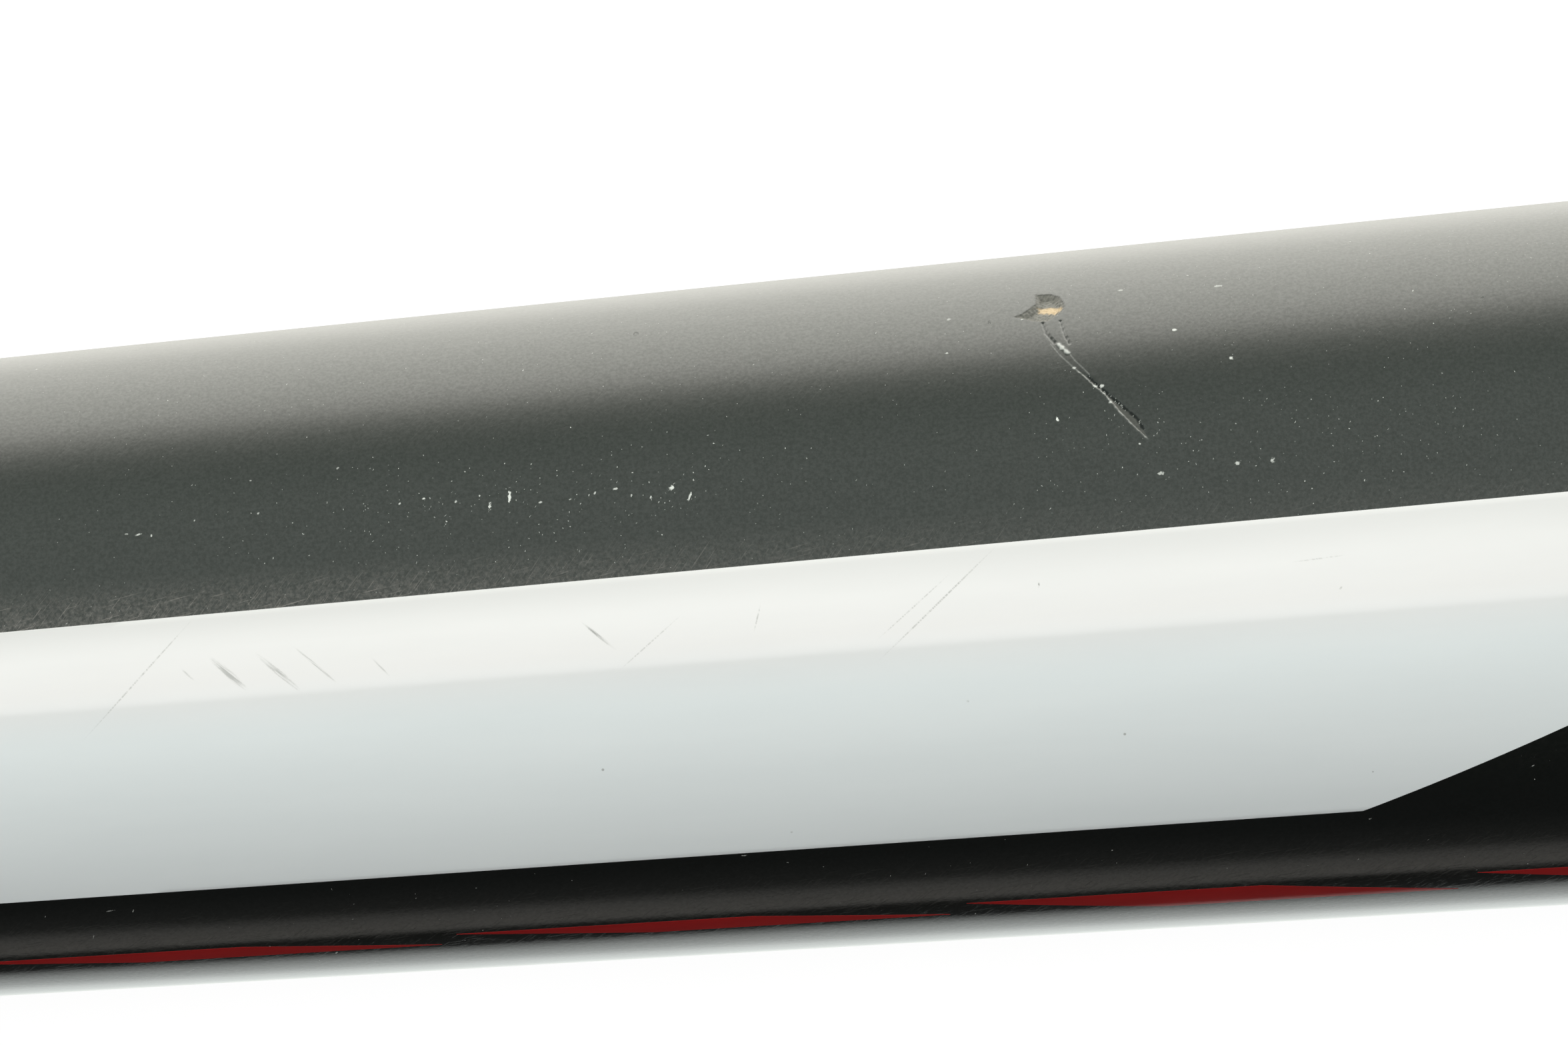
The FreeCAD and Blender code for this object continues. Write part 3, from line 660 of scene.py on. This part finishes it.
# Pale scuffs on the black paint: x, degrees, half length, half width, lean and strength. A strength
# below zero makes a shallow dent instead.
PAINT_SCUFFS = (
    (581.6, 63.3, 0.55, 0.16, 80, 0.9), (583.4, 64.6, 0.95, 0.17, 84, 1.0),
    (578.6, 64.6, 0.2, 0.12, 60, 0.7), (573.6, 65.2, 0.25, 0.12, 50, 0.8),
    (575.8, 65.7, 0.22, 0.12, 20, 0.9), (570.4, 65.7, 0.15, 0.1, 90, 0.7),
    (597.8, 63.6, 0.42, 0.3, 40, 1.0), (595.9, 62.4, 0.2, 0.1, 75, 0.8),
    (599.4, 62.0, 0.6, 0.13, 65, 0.9), (592.8, 64.4, 0.28, 0.2, 0, 0.75),
    (591.0, 64.0, 0.25, 0.1, 60, 0.6), (588.7, 63.2, 0.2, 0.1, 30, 0.6),
    (586.1, 63.2, 0.22, 0.12, 0, 0.7), (585.5, 70.4, 0.2, 0.1, 45, 0.5),
    (594.2, 62.9, 0.2, 0.1, 70, 0.6), (550.3, 63.7, 0.45, 0.12, 10, 0.7),
    (551.4, 63.2, 0.2, 0.14, 60, 0.7), (549.2, 64.0, 0.2, 0.08, 0, 0.5),
    (568.2, 73.0, 0.2, 0.12, 20, 0.4), (561.0, 65.7, 0.15, 0.1, 45, 0.6),
    (560.4, 72.1, 0.14, 0.1, 0, 0.4), (641.0, 58.9, 0.32, 0.26, 0, 0.65),
    (647.8, 59.5, 0.28, 0.24, 0, 0.75), (650.9, 59.5, 0.3, 0.26, 30, 0.7),
    (648.4, 78.7, 0.24, 0.22, 0, 0.75), (643.8, 86.1, 0.26, 0.2, 0, 0.8),
    (632.4, 69.9, 0.24, 0.16, 100, 1.0), (639.4, 64.2, 0.14, 0.12, 0, 0.8),
    (623.8, 94.5, 0.3, 0.24, 0, 0.35), (623.3, 85.6, 0.24, 0.2, 0, 0.45),
    (639.6, 98.4, 0.28, 0.2, 0, 0.4), (648.4, 96.7, 0.5, 0.22, 0, 0.35),
    (672.1, 6.4, 0.3, 0.08, 30, 0.5), (544.2, -5.3, 0.5, 0.09, 10, 0.55),
    (546.3, -5.7, 0.35, 0.08, 70, 0.5), (542.2, -12.3, 0.4, 0.08, 80, 0.45),
    (563.6, -23.5, 0.35, 0.12, 60, 0.7), (601.6, -1.6, 0.4, 0.08, 0, 0.5),
    (634.7, -21.6, 0.6, 0.1, 0, 0.6), (595.4, 99.6, 0.3, 0.5, 0, -1.0),
    (671.6, 86.5, 0.2, 0.35, 0, -0.8), (627.4, 92.4, 0.2, 0.3, 0, -0.8))


def speck_share(nodes, solid, x, degrees):
    """How many of the scattered specks show, most of them in two patches on the upper side."""
    cloud = nodes.noise(nodes.mapped(solid, scale=(0.25, 1.0, 1.0)), 0.12, 4.0, 0.6)
    from_left = nodes.math("ABSOLUTE", nodes.math("SUBTRACT", x, 586.0))
    from_right = nodes.math("ABSOLUTE", nodes.math("SUBTRACT", x, 650.0))
    from_side = nodes.math("ABSOLUTE", nodes.math("SUBTRACT", degrees, 63.0))
    left_patch = nodes.fit(from_left, 6.0, 34.0, 1.0, 0.0)
    right_patch = nodes.fit(from_right, 8.0, 26.0, 0.8, 0.0)
    patches = nodes.math("MAXIMUM", left_patch, right_patch)
    patches = nodes.times(patches, nodes.fit(from_side, 1.0, 13.0, 1.0, 0.0))
    return nodes.times_plus(patches, 0.58, nodes.times(cloud, 0.05))


def speck_mask(nodes, flat, solid, busy, worn_and_lit_side):
    """Mask of the specks, the short dashes and the finest grit on the paint."""
    ragged = shaken(nodes, flat, 2.2, 0.5)
    near, chance = nodes.cells(ragged, 2.2)
    kept = nodes.math("GREATER_THAN", busy, nodes.math("SUBTRACT", 1.0, chance))
    tone = nodes.fit(nodes.noise(solid, 1.3, 2.0), 0.35, 0.65, 0.25, 1.0)
    speck = nodes.times(nodes.fit(near, 0.06, 0.13, 1.0, 0.0), kept)
    speck = nodes.times(speck, tone)
    near, chance = nodes.cells(nodes.leaned(ragged, 58, 1.7, 0.5), 1.6)
    half_busy = nodes.times(busy, 0.5)
    kept = nodes.math("GREATER_THAN", half_busy, nodes.math("SUBTRACT", 1.0, chance))
    dash = nodes.times(nodes.fit(near, 0.05, 0.13, 0.6, 0.0), kept)
    near, chance = nodes.cells(solid, 3.6)
    kept = nodes.math("GREATER_THAN", chance, 0.965)
    fine = nodes.times(nodes.fit(near, 0.08, 0.2, 0.4, 0.0), kept)
    fine = nodes.times(fine, worn_and_lit_side)
    return nodes.math("MAXIMUM", nodes.math("MAXIMUM", speck, dash), fine)


def paint_material(piece):
    """Worn gloss black paint: fine pits and scratches, specks, the chip and the scratch."""
    nodes, shader = new_material(piece, "worn_black_paint")
    flat, x, degrees = unrolled(nodes)
    solid = object_place(nodes)
    # The upper side: more wear and rougher gloss, and a painted reflection tint in the black.
    worn_and_lit_side = nodes.fit(degrees, -2.0, 40.0)
    specks = speck_mask(nodes, flat, solid, speck_share(nodes, solid, x, degrees), worn_and_lit_side)
    scuffs = marks(nodes, solid, 0.4, 2.4)
    pale = nodes.math("MAXIMUM", specks, scuffs)

    hair = nodes.noise(nodes.leaned(flat, 52, 5.0, 0.16), 1.6, 2.0, 0.6)
    cross = nodes.noise(nodes.leaned(flat, 12, 6.0, 0.2), 1.3, 2.0, 0.6)
    hairs = nodes.math("MAXIMUM", nodes.fit(hair, 0.58, 0.74), nodes.fit(cross, 0.6, 0.76))
    grit = nodes.noise(solid, 3.0, 3.0, 0.7)
    rubbed = nodes.times(nodes.fit(degrees, 49.5, 57.0, 1.0, 0.0), worn_and_lit_side)
    left_side = nodes.fit(x, 545.0, 650.0, 1.0, 0.25)
    haze = nodes.times_plus(hairs, 0.8, nodes.fit(grit, 0.35, 0.75, 0.0, 0.45))
    haze = nodes.times(nodes.times(rubbed, left_side), haze)

    # Bare, painted shade and white masks from the points, with the broken mask as alpha.
    wear_and_shade = nodes.node("ShaderNodeAttribute", attribute_name="wear_and_shade")
    bare, painted_shade, white = nodes.node("ShaderNodeSeparateColor", {"Color": wear_and_shade.outputs["Color"]}).outputs
    broken = wear_and_shade.outputs["Alpha"]
    fibre = nodes.noise(nodes.leaned(flat, 8, 2.0, 0.33), 3.0, 4.0, 0.7)
    grey_layer = nodes.ramp(fibre, ((0.35, (0.05, 0.048, 0.042)), (0.7, (0.12, 0.115, 0.098))))
    tan_layer = nodes.ramp(fibre, ((0.3, (0.26, 0.18, 0.09)), (0.7, (0.44, 0.33, 0.20))))

    # Painted reflection tint: the black is a little greener and lighter on the upper side.
    black = nodes.blend(worn_and_lit_side, (0.0023, 0.0029, 0.0024, 1), (0.0026, 0.0052, 0.0030, 1))
    colour = nodes.blend(haze, black, (0.13, 0.119, 0.11, 1))
    colour = nodes.blend(broken, colour, grey_layer)
    colour = nodes.blend(bare, colour, tan_layer)
    # Painted shade in the cracks, along the cut and round the chip's rim.
    colour = nodes.blend(painted_shade, colour, (0.004, 0.006, 0.006, 1))
    # Pale specks and scuffs and white breaks, with the scratch's painted glints.
    colour = nodes.blend(nodes.math("MAXIMUM", white, pale), colour, (0.50, 0.51, 0.49, 1))

    smooth = nodes.fit(worn_and_lit_side, 0.0, 1.0, 0.045, 0.16, "LINEAR")
    rough = nodes.times_plus(nodes.noise(solid, 0.5, 5.0, 0.65), 0.06, smooth)
    rough = nodes.times_plus(haze, 0.16, rough)
    opened = nodes.math("MAXIMUM", broken, pale)
    rough = nodes.times_plus(opened, 0.35, rough)
    mottle = nodes.fit(nodes.noise(solid, 3.2, 3.0, 0.7), 0.3, 0.7, 0.41, 0.57)
    # The specular level also drops where the shade is painted.
    shine = nodes.times(mottle, nodes.fit(painted_shade, 0.0, 1.0, 1.0, 0.1))
    nodes.put(shader.inputs["Specular IOR Level"], shine)
    grain = nodes.noise(solid, 1.7, 3.0, 0.6)
    height = nodes.times_plus(hairs, -0.35, grain)
    height = nodes.times_plus(nodes.math("MINIMUM", scuffs, 0.0), 8.0, height)
    height = nodes.times_plus(opened, nodes.noise(solid, 6.0, 3.0), height)
    dress(nodes, shader, colour, rough, height, 0.006)


# Scuffs on the white panel, greyish: x, degrees, half length, half width, lean and strength.
PANEL_SCUFFS = (
    (562.0, 38.1, 3.0, 0.34, -46, 0.6), (565.4, 38.7, 3.0, 0.16, -46, 0.55),
    (557.6, 38.5, 2.6, 0.45, -47, 0.6), (554.0, 38.9, 0.9, 0.14, -47, 0.4),
    (571.0, 37.8, 1.5, 0.12, -52, 0.4), (590.5, 39.9, 2.3, 0.18, -44, 0.95),
    (549.6, 38.9, 8.6, 0.11, 45, 0.46), (620.4, 40.9, 8.4, 0.12, 40, 0.55),
    (618.2, 40.6, 5.0, 0.10, 38, 0.4), (595.0, 38.4, 4.4, 0.10, 38, 0.38),
    (654.0, 43.2, 3.0, 0.09, 3, 0.3), (604.5, 41.0, 1.5, 0.10, 72, 0.45),
    (629.4, 42.6, 0.35, 0.12, 85, 0.7), (622.4, 24.8, 0.18, 0.16, 0, 0.7),
    (606.0, 3.0, 0.16, 0.14, 0, 0.6), (655.8, 38.4, 0.25, 0.12, 40, 0.6))


def white_material(piece):
    """White film under clear coat, with faint scuffs, a little dirt and a painted light tint."""
    nodes, shader = new_material(piece, "white_film")
    flat, x, degrees = unrolled(nodes)
    solid = object_place(nodes)
    scuffs = marks(nodes, solid, 0.7, 0.4)
    streaks = nodes.noise(nodes.leaned(flat, -44, 6.0, 0.36), 2.2, 2.0, 0.6)
    scuffs = nodes.times(scuffs, nodes.fit(streaks, 0.4, 0.58, 0.15, 1.0))
    cloud = nodes.noise(nodes.mapped(solid, scale=(0.15, 1.0, 1.0)), 0.2, 4.0, 0.6)
    near, chance = nodes.cells(solid, 0.22)
    kept = nodes.math("GREATER_THAN", chance, 0.72)
    dot = nodes.times(nodes.fit(near, 0.02, 0.035, 0.5, 0.0), kept)
    # Painted light: the film is cooler below 27 degrees and warmer and a little darker above 38, as if
    # lit by warmer light from above.
    painted_cool_light = nodes.ramp(cloud, ((0.3, (0.678, 0.704, 0.726)), (0.7, (0.700, 0.724, 0.745))))
    painted_warm_light = nodes.ramp(cloud, ((0.3, (0.660, 0.642, 0.650)), (0.7, (0.682, 0.663, 0.671))))
    base = nodes.blend(nodes.fit(degrees, 27.0, 38.0), painted_cool_light, painted_warm_light)
    dulled = nodes.fit(x, 540.0, 620.0, 0.24, 0.16)
    dulled = nodes.times(nodes.fit(degrees, 42.0, 50.5), dulled)
    colour = nodes.blend(dulled, base, (0.10, 0.10, 0.09, 1))
    colour = nodes.blend(scuffs, colour, (0.20, 0.20, 0.19, 1))
    colour = nodes.blend(dot, colour, (0.12, 0.11, 0.10, 1))
    rough = nodes.times_plus(cloud, 0.05, 0.025)
    rough = nodes.times_plus(scuffs, 0.3, rough)
    grain = nodes.noise(solid, 0.8, 2.0, 0.5)
    dress(nodes, shader, colour, rough, nodes.times_plus(scuffs, -1.5, grain), 0.002)


def red_material(piece):
    """Deep red film under clear coat."""
    nodes, shader = new_material(piece, "red_film")
    solid = object_place(nodes)
    cloud = nodes.noise(nodes.mapped(solid, scale=(0.3, 1.0, 1.0)), 0.4, 4.0, 0.6)
    red = nodes.ramp(cloud, ((0.3, (0.25, 0.003, 0.003)), (0.7, (0.30, 0.005, 0.005))))
    rough = nodes.times_plus(cloud, 0.06, 0.04)
    dress(nodes, shader, red, rough, nodes.noise(solid, 1.2, 3.0), 0.003)


def moulded_material(piece, name, low, high, roughness, grain_size, grain_depth, stretch=(1, 1, 1)):
    """Moulded or rubbed surface: two tones of fine noise, uneven gloss and a grain."""
    nodes, shader = new_material(piece, name)
    shader.inputs["Specular IOR Level"].default_value = 0.3
    solid = nodes.mapped(object_place(nodes), scale=stretch)
    tone = nodes.noise(solid, grain_size * 0.3, 5.0, 0.65)
    rough = nodes.times_plus(tone, 0.2, roughness - 0.1)
    grain = nodes.noise(solid, grain_size, 4.0, 0.6)
    dress(nodes, shader, nodes.ramp(tone, ((0.3, low), (0.7, high))), rough, grain, grain_depth)
    return shader


TOW_LEAN = 30  # degrees between the tows and the bat's axis


def woven_material(piece, name, low, high, roughness, tow=1.6):
    """Bare fibre composite: tows that cross over and under."""
    nodes, shader = new_material(piece, name)
    flat = unrolled(nodes)[0]
    along, aside, _ = nodes.split(nodes.leaned(flat, TOW_LEAN, tow, tow))
    waves = [nodes.math("SINE", nodes.times(place, math.pi)) for place in (along, aside)]
    over = nodes.times(*waves)
    strands = nodes.noise(nodes.leaned(flat, TOW_LEAN, 3.0, 0.2), 1.5, 3.0, 0.6)
    height = nodes.times_plus(strands, 0.5, over)
    colour = nodes.ramp(nodes.fit(height, -0.8, 1.3), ((0.2, low), (0.8, high)))
    rough = nodes.times_plus(strands, 0.2, roughness - 0.1)
    dress(nodes, shader, colour, rough, height, 0.08)


# ---------------------------------------------------------------- end cap, handle, knob and grip
# Sizes in millimetres, as in the CAD model. FLARE is the tube's outer line as (x, radius).
CAP_SKIN, CAP_ROUND = 6.0, 8.0
PLUG_START, PLUG_WALL, BOND_WALL = 802.0, 3.4, 0.25
CAP_GROOVE, CAP_GROOVE_DEPTH = (18.0, 20.0), 0.8
COLLAR_START, COLLAR_LIP, COLLAR_RADIUS, COLLAR_EDGE = 345.0, 13.3, 16.85, 0.8
TUBE_START, FLARE = 4.0, ((360.0, 11.75), (390.0, 11.85), (430.0, 16.85), (470.0, 21.25))
KNOB_RADIUS, KNOB_NECK, KNOB_NECK_RADIUS, KNOB_BORE = 25.0, 26.0, 13.6, 11.95
KNOB_ROUND = 4.5  # radius between the knob's face and its rim
DISC_RADIUS, DISC_DEPTH, DISC_GROOVE = 15.0, 1.2, (12.0, 12.4)


def bend(start, end, radius, count=14):
    """Points on an arc from start to end, turning left if the radius is positive, without the end."""
    chord = math.dist(start, end)
    share = math.copysign(math.sqrt(radius ** 2 - chord ** 2 / 4), radius) / chord
    centre = ((start[0] + end[0]) / 2 - (end[1] - start[1]) * share,
              (start[1] + end[1]) / 2 + (end[0] - start[0]) * share)
    first = math.degrees(math.atan2(start[1] - centre[1], start[0] - centre[0]))
    last = math.degrees(math.atan2(end[1] - centre[1], end[0] - centre[0]))
    sweep = (last - first + 180) % 360 - 180
    return arc(centre, abs(radius), first, first + sweep, count)


def make_end_cap():
    """Moulded cap with a round edge, a groove in its face and a plug inside the barrel."""
    plug = BARREL_RADIUS - BARREL_WALL - BOND_WALL
    inside = TOTAL_LENGTH - CAP_SKIN
    plug_bore, edge, small = plug - PLUG_WALL, TOTAL_LENGTH - CAP_ROUND, 0.2
    low, high = CAP_GROOVE
    floor = TOTAL_LENGTH - CAP_GROOVE_DEPTH
    outline = path((inside, 0), (inside, plug_bore), (PLUG_START, plug_bore), (PLUG_START, plug),
                   (CAP_JOINT, plug), (CAP_JOINT, BARREL_RADIUS - small),
                   (CAP_JOINT + small, BARREL_RADIUS), (edge, BARREL_RADIUS))
    outline += arc((edge, BARREL_RADIUS - CAP_ROUND), CAP_ROUND, 90, 0, 20)
    outline += path((TOTAL_LENGTH, BARREL_RADIUS - CAP_ROUND), (TOTAL_LENGTH, high + small),
                    (TOTAL_LENGTH - small, high), (floor, high - small), (floor, low + small),
                    (TOTAL_LENGTH - small, low), (TOTAL_LENGTH, low - small), (TOTAL_LENGTH, 0),
                    step=1.5)
    cap = turned("cap", outline + [(TOTAL_LENGTH, 0)])
    moulded_material(cap, "moulded_cap", (0.014, 0.014, 0.015), (0.026, 0.026, 0.027), 0.42, 1.4, 0.02)
    finish_piece(cap, "end_cap")


def make_handle():
    """Hollow handle that flares into the barrel, and the collar over the joint."""
    outer = [(TUBE_START, HANDLE_RADIUS), *FLARE]
    inner = [(x, radius - HANDLE_WALL) for x, radius in reversed(outer)]
    tube = turned("handle", path(*outer, *inner, outer[0], step=3.0), 128)
    moulded_material(tube, "gloss_handle", 0.010, 0.020, 0.2, 0.8, 0.006)
    finish_piece(tube, "handle_tube")

    lip = (COLLAR_START, COLLAR_LIP - COLLAR_EDGE)
    outline = path((COLLAR_START, HANDLE_RADIUS), lip)
    outline += bend(lip, (COLLAR_START + COLLAR_EDGE, COLLAR_LIP), -COLLAR_EDGE, 6)
    outline += path((COLLAR_START + COLLAR_EDGE, COLLAR_LIP), (BARREL_TAIL, COLLAR_RADIUS), FLARE[1],
                    FLARE[0], (COLLAR_START, HANDLE_RADIUS), step=1.0)
    collar = turned("collar", outline, 160)
    moulded_material(collar, "satin_collar", 0.020, (0.036, 0.036, 0.037), 0.5, 2.2, 0.03)
    finish_piece(collar, "transition_collar")


def make_knob():
    """Knob with a round rim, and the red disc set in its face."""
    rim_start, rim_end, turn_point = (KNOB_ROUND, KNOB_RADIUS), (10.5, KNOB_RADIUS), (14.81, 22.53)
    face_edge, neck = (0.0, KNOB_RADIUS - KNOB_ROUND), (KNOB_NECK, KNOB_NECK_RADIUS)
    outline = path((DISC_DEPTH, 0), (DISC_DEPTH, DISC_RADIUS), (0.0, DISC_RADIUS), face_edge, step=1.5)
    outline += bend(face_edge, rim_start, -KNOB_ROUND, 16) + path(rim_start, rim_end, step=1.0)
    outline += bend(rim_end, turn_point, -5.0, 14) + bend(turn_point, neck, 20.0, 20)
    outline += path(neck, (KNOB_NECK, KNOB_BORE), (TUBE_START, KNOB_BORE), (TUBE_START, 0))
    knob = turned("knob_body", outline + [(TUBE_START, 0)], 192)
    moulded_material(knob, "moulded_knob", (0.014, 0.014, 0.015), (0.028, 0.028, 0.029), 0.4, 1.6, 0.02)
    finish_piece(knob, "knob")

    edge = 0.2
    low, high = DISC_GROOVE
    outline = path((DISC_DEPTH, 0), (DISC_DEPTH, DISC_RADIUS), (edge, DISC_RADIUS),
                   (0.0, DISC_RADIUS - edge), (0.0, high + edge), (edge, high), (edge, low),
                   (0.0, low - edge), (0, 0), step=1.5)
    disc = turned("disc", list(reversed(outline + [(0, 0)])), 160)
    moulded_material(disc, "moulded_red", (0.24, 0.006, 0.006), (0.32, 0.010, 0.010), 0.35, 1.6, 0.012)
    finish_piece(disc, "knob_disc")


# The wound tape, in millimetres: TAPE_LAP is how far a lapped edge stands up.
TAPE_PITCH, HOLE_SPACING, HOLE_RADIUS, HOLE_DEPTH = 23.4, 3.34, 0.5, 0.32
TAPE_THIN, TAPE_LAP = 1.02, 0.5


def tube_grid(start, end, rows, columns):
    """Places along the bat and degrees round it, for the rings of a tube."""
    around = np.linspace(0, 360, columns, endpoint=False)
    return np.meshgrid(np.linspace(start, end, rows), around, indexing="ij")


def wound(name, x, degrees, outer, back, inner):
    """Closed tube of tape: an outer side over a grid, and an inner side of rings at places and radii."""
    outside = skin_points(x, degrees, outer).reshape(-1, 3)
    places, radii = np.array(back)[:, None], np.array(inner)[:, None]
    inside = skin_points(places, degrees[:len(back)], radii).reshape(-1, 3)
    faces = ring_faces(x.shape[0] + len(back), x.shape[1], closed=True)
    piece = new_object(name, np.concatenate([outside, inside]), faces)
    outward(piece)
    return piece


def make_grip():
    """Perforated tape wound round the handle, each turn lapping the one before. Across the tape, a
    place goes from 0 to 1."""
    x, degrees = tube_grid(GRIP_START, GRIP_END, 560, 186)
    winding = (x - GRIP_START) / TAPE_PITCH - degrees / 360
    across = winding - np.floor(winding)
    girth = 2 * math.pi * (HANDLE_RADIUS + GRIP_WALL)
    along = (np.floor(winding) + degrees / 360) * girth
    lap = soft(across, 0.0, 0.03) * (1 - soft(across, 0.15, 0.30))
    angle = np.radians(degrees)
    wave = 0.04 * np.sin(angle * 3 + x * 0.21) + 0.03 * np.sin(x * 0.57 - angle * 2)
    columns = across * round(TAPE_PITCH / HOLE_SPACING)
    rows = along / HOLE_SPACING + 0.5 * (np.floor(columns) % 2)
    away = HOLE_SPACING * np.hypot(columns - np.floor(columns) - 0.5, rows - np.floor(rows) - 0.5)
    hole = (1 - soft(away, HOLE_RADIUS - 0.2, HOLE_RADIUS + 0.15)) * soft(across, 0.06, 0.08)
    thick = TAPE_THIN + TAPE_LAP * lap + wave * 0.6 - HOLE_DEPTH * hole
    thick *= 1 - 0.35 * (1 - soft(x - GRIP_START, 0.0, 1.2))
    outer = HANDLE_RADIUS + np.minimum(thick, GRIP_WALL)
    grip = wound("grip", x, degrees, outer, (GRIP_END, GRIP_START), (HANDLE_RADIUS, HANDLE_RADIUS))
    moulded_material(grip, "soft_tape", (0.018, 0.018, 0.019), (0.042, 0.042, 0.043), 0.62, 3.0, 0.05)
    finish_piece(grip, "grip_wrap", 60.0)


def make_band():
    """Finishing tape wound over the end of the grip."""
    x, degrees = tube_grid(BAND_START, BAND_END, 90, 180)
    on_grip, on_handle = HANDLE_RADIUS + GRIP_WALL + BAND_WALL, BAND_TAIL_RADIUS
    fall = soft(x, GRIP_END - 0.5, BAND_END - 3.0)
    outer = on_grip + (on_handle - on_grip) * fall
    slant = x + 1.4 * np.sin(np.radians(degrees)) - 0.004 * degrees
    outer -= 0.1 * (soft(slant, 287.0, 287.3) + (1 - soft(slant, 277.6, 277.9)))
    wrinkled = soft(x, 282.0, 286.0) * (1 - soft(x, 289.0, 292.0))
    outer += 0.05 * np.sin(np.radians(degrees) * 7 + x * 0.8) * wrinkled
    over_grip = HANDLE_RADIUS + GRIP_WALL
    band = wound("finishing_band", x, degrees, outer, (BAND_END, GRIP_END, GRIP_END, BAND_START),
                 (HANDLE_RADIUS, HANDLE_RADIUS, over_grip, over_grip))
    moulded_material(
        band, "vinyl_band", (0.014, 0.014, 0.015), (0.030, 0.030, 0.031), 0.3, 1.2, 0.02, (1, 0.3, 0.3))
    finish_piece(band, "grip_band", 40.0)


def dress_inner_nodes():
    """Finishes for the pieces inside the bat, which keep their CAD shape."""
    nodes = frame["nodes"]
    woven_material(nodes["barrel_liner"], "liner_weave", 0.02, (0.075, 0.075, 0.072), 0.45)
    woven_material(
        nodes["barrel_ring"], "ring_weave", (0.025, 0.024, 0.022), (0.09, 0.085, 0.075), 0.5, tow=1.2)
    for name in ("end_cap_bond", "knob_bond"):
        moulded_material(
            nodes[name], "cured_bond", (0.24, 0.20, 0.13), (0.36, 0.31, 0.22), 0.4, 1.0, 0.05)
    brass = moulded_material(
        nodes["balance_weight"], "turned_brass", (0.50, 0.34, 0.13), (0.66, 0.48, 0.22), 0.35, 2.0, 0.02,
        stretch=(1, 4, 4))
    brass.inputs["Metallic"].default_value = 1.0
    moulded_material(nodes["joint_sleeve"], "elastomer", 0.02, 0.04, 0.65, 2.0, 0.04)
    moulded_material(
        nodes["handle_foam"], "cell_foam", (0.52, 0.47, 0.34), (0.74, 0.70, 0.55), 0.85, 1.2, 0.25)


make_camera()
make_world()
make_floor()
make_barrel()
for side, half_turn in (("front", 0.0), ("back", 180.0)):
    make_panel(f"panel_{side}", f"white_panel_{side}", half_turn)
    make_flashes(f"flashes_{side}", f"red_flashes_{side}", half_turn)
make_end_cap()
make_handle()
make_knob()
make_grip()
make_band()
dress_inner_nodes()
